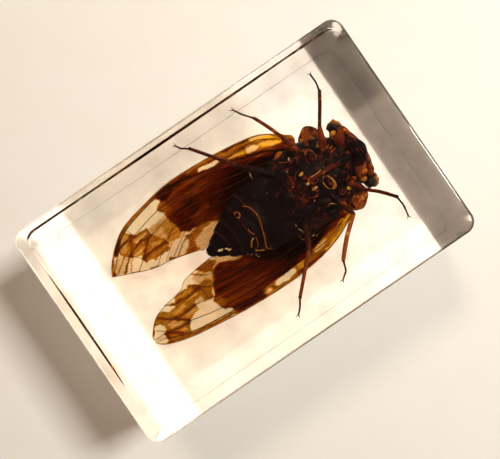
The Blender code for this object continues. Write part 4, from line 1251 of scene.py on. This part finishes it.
def make_hindwing(side, film_material, vein_material):
    """A hindwing, clear along its edges and dark at its root, with its veins."""
    lead, rear = HIND_LEADING[side], HIND_REAR[side]

    def paint(x, y):
        rim = np.minimum(distance_to_line(x, y, lead), distance_to_line(x, y, rear))
        stain = BARE + 0.08 * np.clip(rim / 1.2, 0, 1) + 0.5 * np.clip((x + 4) / 7, 0, 1)
        return stain, np.zeros(x.shape)

    settle(f"hindwing_{side}", film(lead, rear, HIND_HEIGHT, paint, 90, 40), film_material)
    veins = new_shape("tone")
    for radius, *line in HIND_VEINS[side]:
        rod(veins, [on_wing(point, HIND_HEIGHT + VEIN_RISE) for point in line], radius, 0.0, 40, 8)
    settle(f"hindwing_veins_{side}", veins, vein_material)


def lamp(name, aim, distance, size, power, warmth, lit, shades):
    """A square soft lamp that faces the block from a direction. Its distance and size are in metres. Only the
    named shades shade it, and it lights only some pieces if any are named."""
    data = bpy.data.lights.new(name, "AREA")
    data.size = size
    data.energy = power
    data.color = warmth
    made = bpy.data.objects.new(name, data)
    place = Vector(aim).normalized()
    made.location = place * distance
    made.rotation_euler = place.to_track_quat("Z", "Y").to_euler()
    bpy.context.scene.collection.objects.link(made)
    if lit:
        made.light_linking.receiver_collection = group(name + "_lit", lit)
    made.light_linking.blocker_collection = group(name + "_shades", shades)


def group(name, pieces):
    """A collection of some pieces, for a lamp."""
    made = bpy.data.collections.new(name)
    for piece in pieces:
        made.objects.link(piece)
    return made


def make_room(warmth, brightness):
    """A plain dim room round the lamps."""
    world = bpy.data.worlds.new("room")
    bpy.context.scene.world = world
    world.use_nodes = True
    back = world.node_tree.nodes["Background"]
    back.inputs["Color"].default_value = (*warmth, 1)
    back.inputs["Strength"].default_value = brightness
    world.cycles.sampling_method = "NONE"


def sheet(name, low, high, height, material=None):
    """A flat sheet of the stage between two corners, given in mm. Without a material it only shades lamps."""
    mesh = bmesh.new()
    bmesh.ops.create_grid(mesh, x_segments=1, y_segments=1, size=0.5)
    low, high = Vector(low) * MM, Vector(high) * MM
    bmesh.ops.scale(mesh, verts=mesh.verts, vec=(*(high - low), 1))
    bmesh.ops.translate(mesh, verts=mesh.verts, vec=(*((low + high) / 2), height * MM))
    data = bpy.data.meshes.new(name)
    mesh.to_mesh(data)
    mesh.free()
    made = bpy.data.objects.new(name, data)
    bpy.context.scene.collection.objects.link(made)
    if material:
        data.materials.append(material)
    else:
        for ray in ("camera", "diffuse", "glossy", "transmission", "volume_scatter"):
            setattr(made, "visible_" + ray, False)
    return made


def make_inner_light(settings, insect, rest):
    """The light inside the block. It comes in through the top at a slant, so it misses the floor along two
    sides, and the two opposite sides throw it back on the floor along them. Sheets at the top, and a low one
    towards the head, shape it."""
    half_x, half_y, top = (value / MM for value in (BLOCK_HIGH.x, BLOCK_HIGH.y, BLOCK_HIGH.z))
    beyond_head = sheet("shade_beyond_head", (half_x, -FAR), (FAR, FAR), top)
    low_head = sheet("shade_low_head", (LOW_SHEET_X, -FAR), (FAR, FAR), LOW_SHEET_HEIGHT)
    beyond_side = sheet("shade_beyond_side", (-FAR, half_y), (FAR, FAR), top)
    before_tail = sheet("shade_before_tail", (-half_x, -FAR), (FAR, FAR), top)
    before_side = sheet("shade_before_side", (-FAR, -half_y), (FAR, FAR), top)
    over_tail = sheet("shade_over_tail", (-FAR, -FAR), (OVER_TAIL_X, FAR), top)
    over_corner = sheet("shade_over_corner", OVER_CORNER, (FAR, FAR), top)
    solid = [piece for piece in insect if piece.data.materials[0].name != "wing_film"]
    slant = (SLANT_X, SLANT_Y, 1)
    cream, amber, white, dusk = (1.0, 0.97, 0.82), (1.0, 0.85, 0.64), (1.0, 0.98, 0.94), (1.0, 0.85, 0.76)
    cool = (0.92, 0.97, 1.1)
    # name, direction, size, share of the light, colour, what it lights, what shades it
    beams = (
        ("floor_lamp", slant, 0.04, 1.5, cream, [rest], [low_head]),
        ("floor_lamp_short", slant, 0.04, 0.25, cream, [rest], [low_head, beyond_side]),
        ("floor_lamp_soft", slant, 0.16, 0.5, amber, [rest], insect + [beyond_head, beyond_side]),
        ("floor_lamp_head", slant, 0.24, 0.8, cool, [rest], [low_head, over_tail]),
        ("floor_lamp_tail", (-SLANT_X, SLANT_Y, 1), 0.04, 2.0, white, [rest], [before_tail]),
        ("floor_lamp_side", (SLANT_X, -SLANT_Y, 1), 0.04, 0.8, white, [rest], [before_side, low_head]),
        ("floor_fill", (-0.45, -0.5, 1), 0.04, 0.55, dusk, [rest], [over_corner]),
        ("insect_lamp", (0.5, 0.3, 1), 0.12, 1.0, cream, insect, solid),
        ("insect_fill", (-0.45, -0.5, 1), 0.2, 0.12, dusk, insect, solid),
    )
    for name, aim, size, share, warmth, lit, shades in beams:
        lamp(name, aim, INNER_DISTANCE, size, settings.inner_light * share, warmth, lit, shades)


def make_stage(settings):
    """The table top, a patch of it under the block darkened with painted shade and mottled with painted light
    and shade, the lamps, the room and the camera.
    """
    shade = colour(settings.table)
    surface = table_finish("pale_table", shade, tint(214, 200, 186), 9.0, 0.08)
    # Painted shade and light: the patch under the block is darkened to stand for the block's shadow, and
    # strongly mottled to stand for the blotchy light the block gathers beneath it.
    dim = tuple(value * share for value, share in zip(shade, (0.55, 0.5, 0.47)))
    mottled = table_finish("pale_table_under_block", dim, tuple(value * 0.78 for value in dim), 5.0, 1.0)
    sheet("table_top", (-TABLE_HALF, -TABLE_HALF), (TABLE_HALF, TABLE_HALF), TABLE_HEIGHT, surface)
    rest = sheet("table_under_block", BLOCK_LOW.xy / MM, BLOCK_HIGH.xy / MM, REST_HEIGHT, mottled)
    insect = [o for o in bpy.data.objects if o.name.startswith(("cicada_", "forewing", "hindwing"))]
    shades = insect + [bpy.data.objects["resin_block"]]
    for name, aim, power, warmth in (
        ("head_lamp", HEAD_LAMP_AIM, settings.head_light, HEAD_LAMP_COLOUR),
        ("side_lamp", SIDE_LAMP_AIM, settings.side_light, SIDE_LAMP_COLOUR),
    ):
        lamp(name, aim, LAMP_DISTANCE, LAMP_SIZE, power, warmth, None, shades)
    make_inner_light(settings, insect, rest)
    make_room(settings.room_warmth, settings.room)
    camera = bpy.data.objects.new("camera", bpy.data.cameras.new("camera"))
    bpy.context.scene.collection.objects.link(camera)
    camera.location = (CAMERA_X * MM, CAMERA_Y * MM, settings.height)
    camera.rotation_euler = (0, 0, radians(CAMERA_TURN))
    camera.data.lens = settings.lens
    camera.data.shift_x, camera.data.shift_y = CAMERA_SHIFT
    camera.data.clip_start = 1 * MM
    scene = bpy.context.scene
    scene.camera = camera
    scene.view_settings.view_transform = "Standard"
    scene.cycles.max_bounces = 32
    scene.cycles.transmission_bounces = 32
    scene.cycles.glossy_bounces = 16
    scene.cycles.diffuse_bounces = 4
    scene.cycles.transparent_max_bounces = 32
    scene.cycles.caustics_reflective = True
    scene.cycles.caustics_refractive = True
    scene.cycles.use_denoising = True


# ---------------------------------------------------------------- operators


class RESIN_OT_block(bpy.types.Operator):
    """Add the clear cast block"""

    bl_idname = "resin.add_block"
    bl_label = "Resin block"
    bl_options = {"REGISTER", "UNDO"}

    def execute(self, context):
        make_resin(context.scene.resin_settings)
        return {"FINISHED"}


class RESIN_OT_body(bpy.types.Operator):
    """Add the cicada's trunk, belly plates, collar, head and eyes"""

    bl_idname = "resin.add_body"
    bl_label = "Cicada body"
    bl_options = {"REGISTER", "UNDO"}

    def execute(self, context):
        shell = shell_finish(context.scene.shell_settings)
        make_trunk(shell)
        make_belly_plates(shell)
        make_collar(shell)
        make_head(shell)
        make_eyes(eye_finish())
        return {"FINISHED"}


class RESIN_OT_legs(bpy.types.Operator):
    """Add the cicada's six legs"""

    bl_idname = "resin.add_legs"
    bl_label = "Cicada legs"
    bl_options = {"REGISTER", "UNDO"}

    def execute(self, context):
        make_legs(shell_finish(context.scene.shell_settings))
        return {"FINISHED"}


class RESIN_OT_wings(bpy.types.Operator):
    """Add the cicada's forewings and hindwings with their veins"""

    bl_idname = "resin.add_wings"
    bl_label = "Cicada wings"
    bl_options = {"REGISTER", "UNDO"}

    def execute(self, context):
        settings = context.scene.wing_settings
        film_material, vein_material = film_finish(settings), vein_finish(settings)
        for side in ("left", "right"):
            make_forewing(side, film_material, vein_material)
            make_hindwing(side, film_material, vein_material)
        return {"FINISHED"}


class RESIN_OT_stage(bpy.types.Operator):
    """Add the pale table top, the light and the camera"""

    bl_idname = "resin.add_stage"
    bl_label = "Table, light and camera"
    bl_options = {"REGISTER", "UNDO"}

    def execute(self, context):
        make_stage(context.scene.stage_settings)
        return {"FINISHED"}


class VIEW3D_PT_resin(bpy.types.Panel):
    """Lists the pieces of the insect in its resin block"""

    bl_label = "Insect in resin"
    bl_space_type = "VIEW_3D"
    bl_region_type = "UI"
    bl_category = "Resin"

    def draw(self, context):
        for operator in OPERATORS:
            self.layout.operator(operator.bl_idname)
        for key in SETTINGS:
            settings = getattr(context.scene, key)
            box = self.layout.box()
            for name in settings.bl_rna.properties.keys():
                if name not in ("rna_type", "name"):
                    box.prop(settings, name)


SETTINGS = {
    "resin_settings": ResinSettings,
    "shell_settings": ShellSettings,
    "wing_settings": WingSettings,
    "stage_settings": StageSettings,
}
OPERATORS = (RESIN_OT_block, RESIN_OT_body, RESIN_OT_legs, RESIN_OT_wings, RESIN_OT_stage)


def register():
    for key, kind in SETTINGS.items():
        bpy.utils.register_class(kind)
        setattr(bpy.types.Scene, key, PointerProperty(type=kind))
    for operator in OPERATORS:
        bpy.utils.register_class(operator)
    bpy.utils.register_class(VIEW3D_PT_resin)


def unregister():
    bpy.utils.unregister_class(VIEW3D_PT_resin)
    for operator in reversed(OPERATORS):
        bpy.utils.unregister_class(operator)
    for key, kind in SETTINGS.items():
        delattr(bpy.types.Scene, key)
        bpy.utils.unregister_class(kind)


def main():
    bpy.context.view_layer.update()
    register()
    bpy.ops.resin.add_block()
    bpy.ops.resin.add_body()
    bpy.ops.resin.add_legs()
    bpy.ops.resin.add_wings()
    bpy.ops.resin.add_stage()


if __name__ == "__main__":
    main()
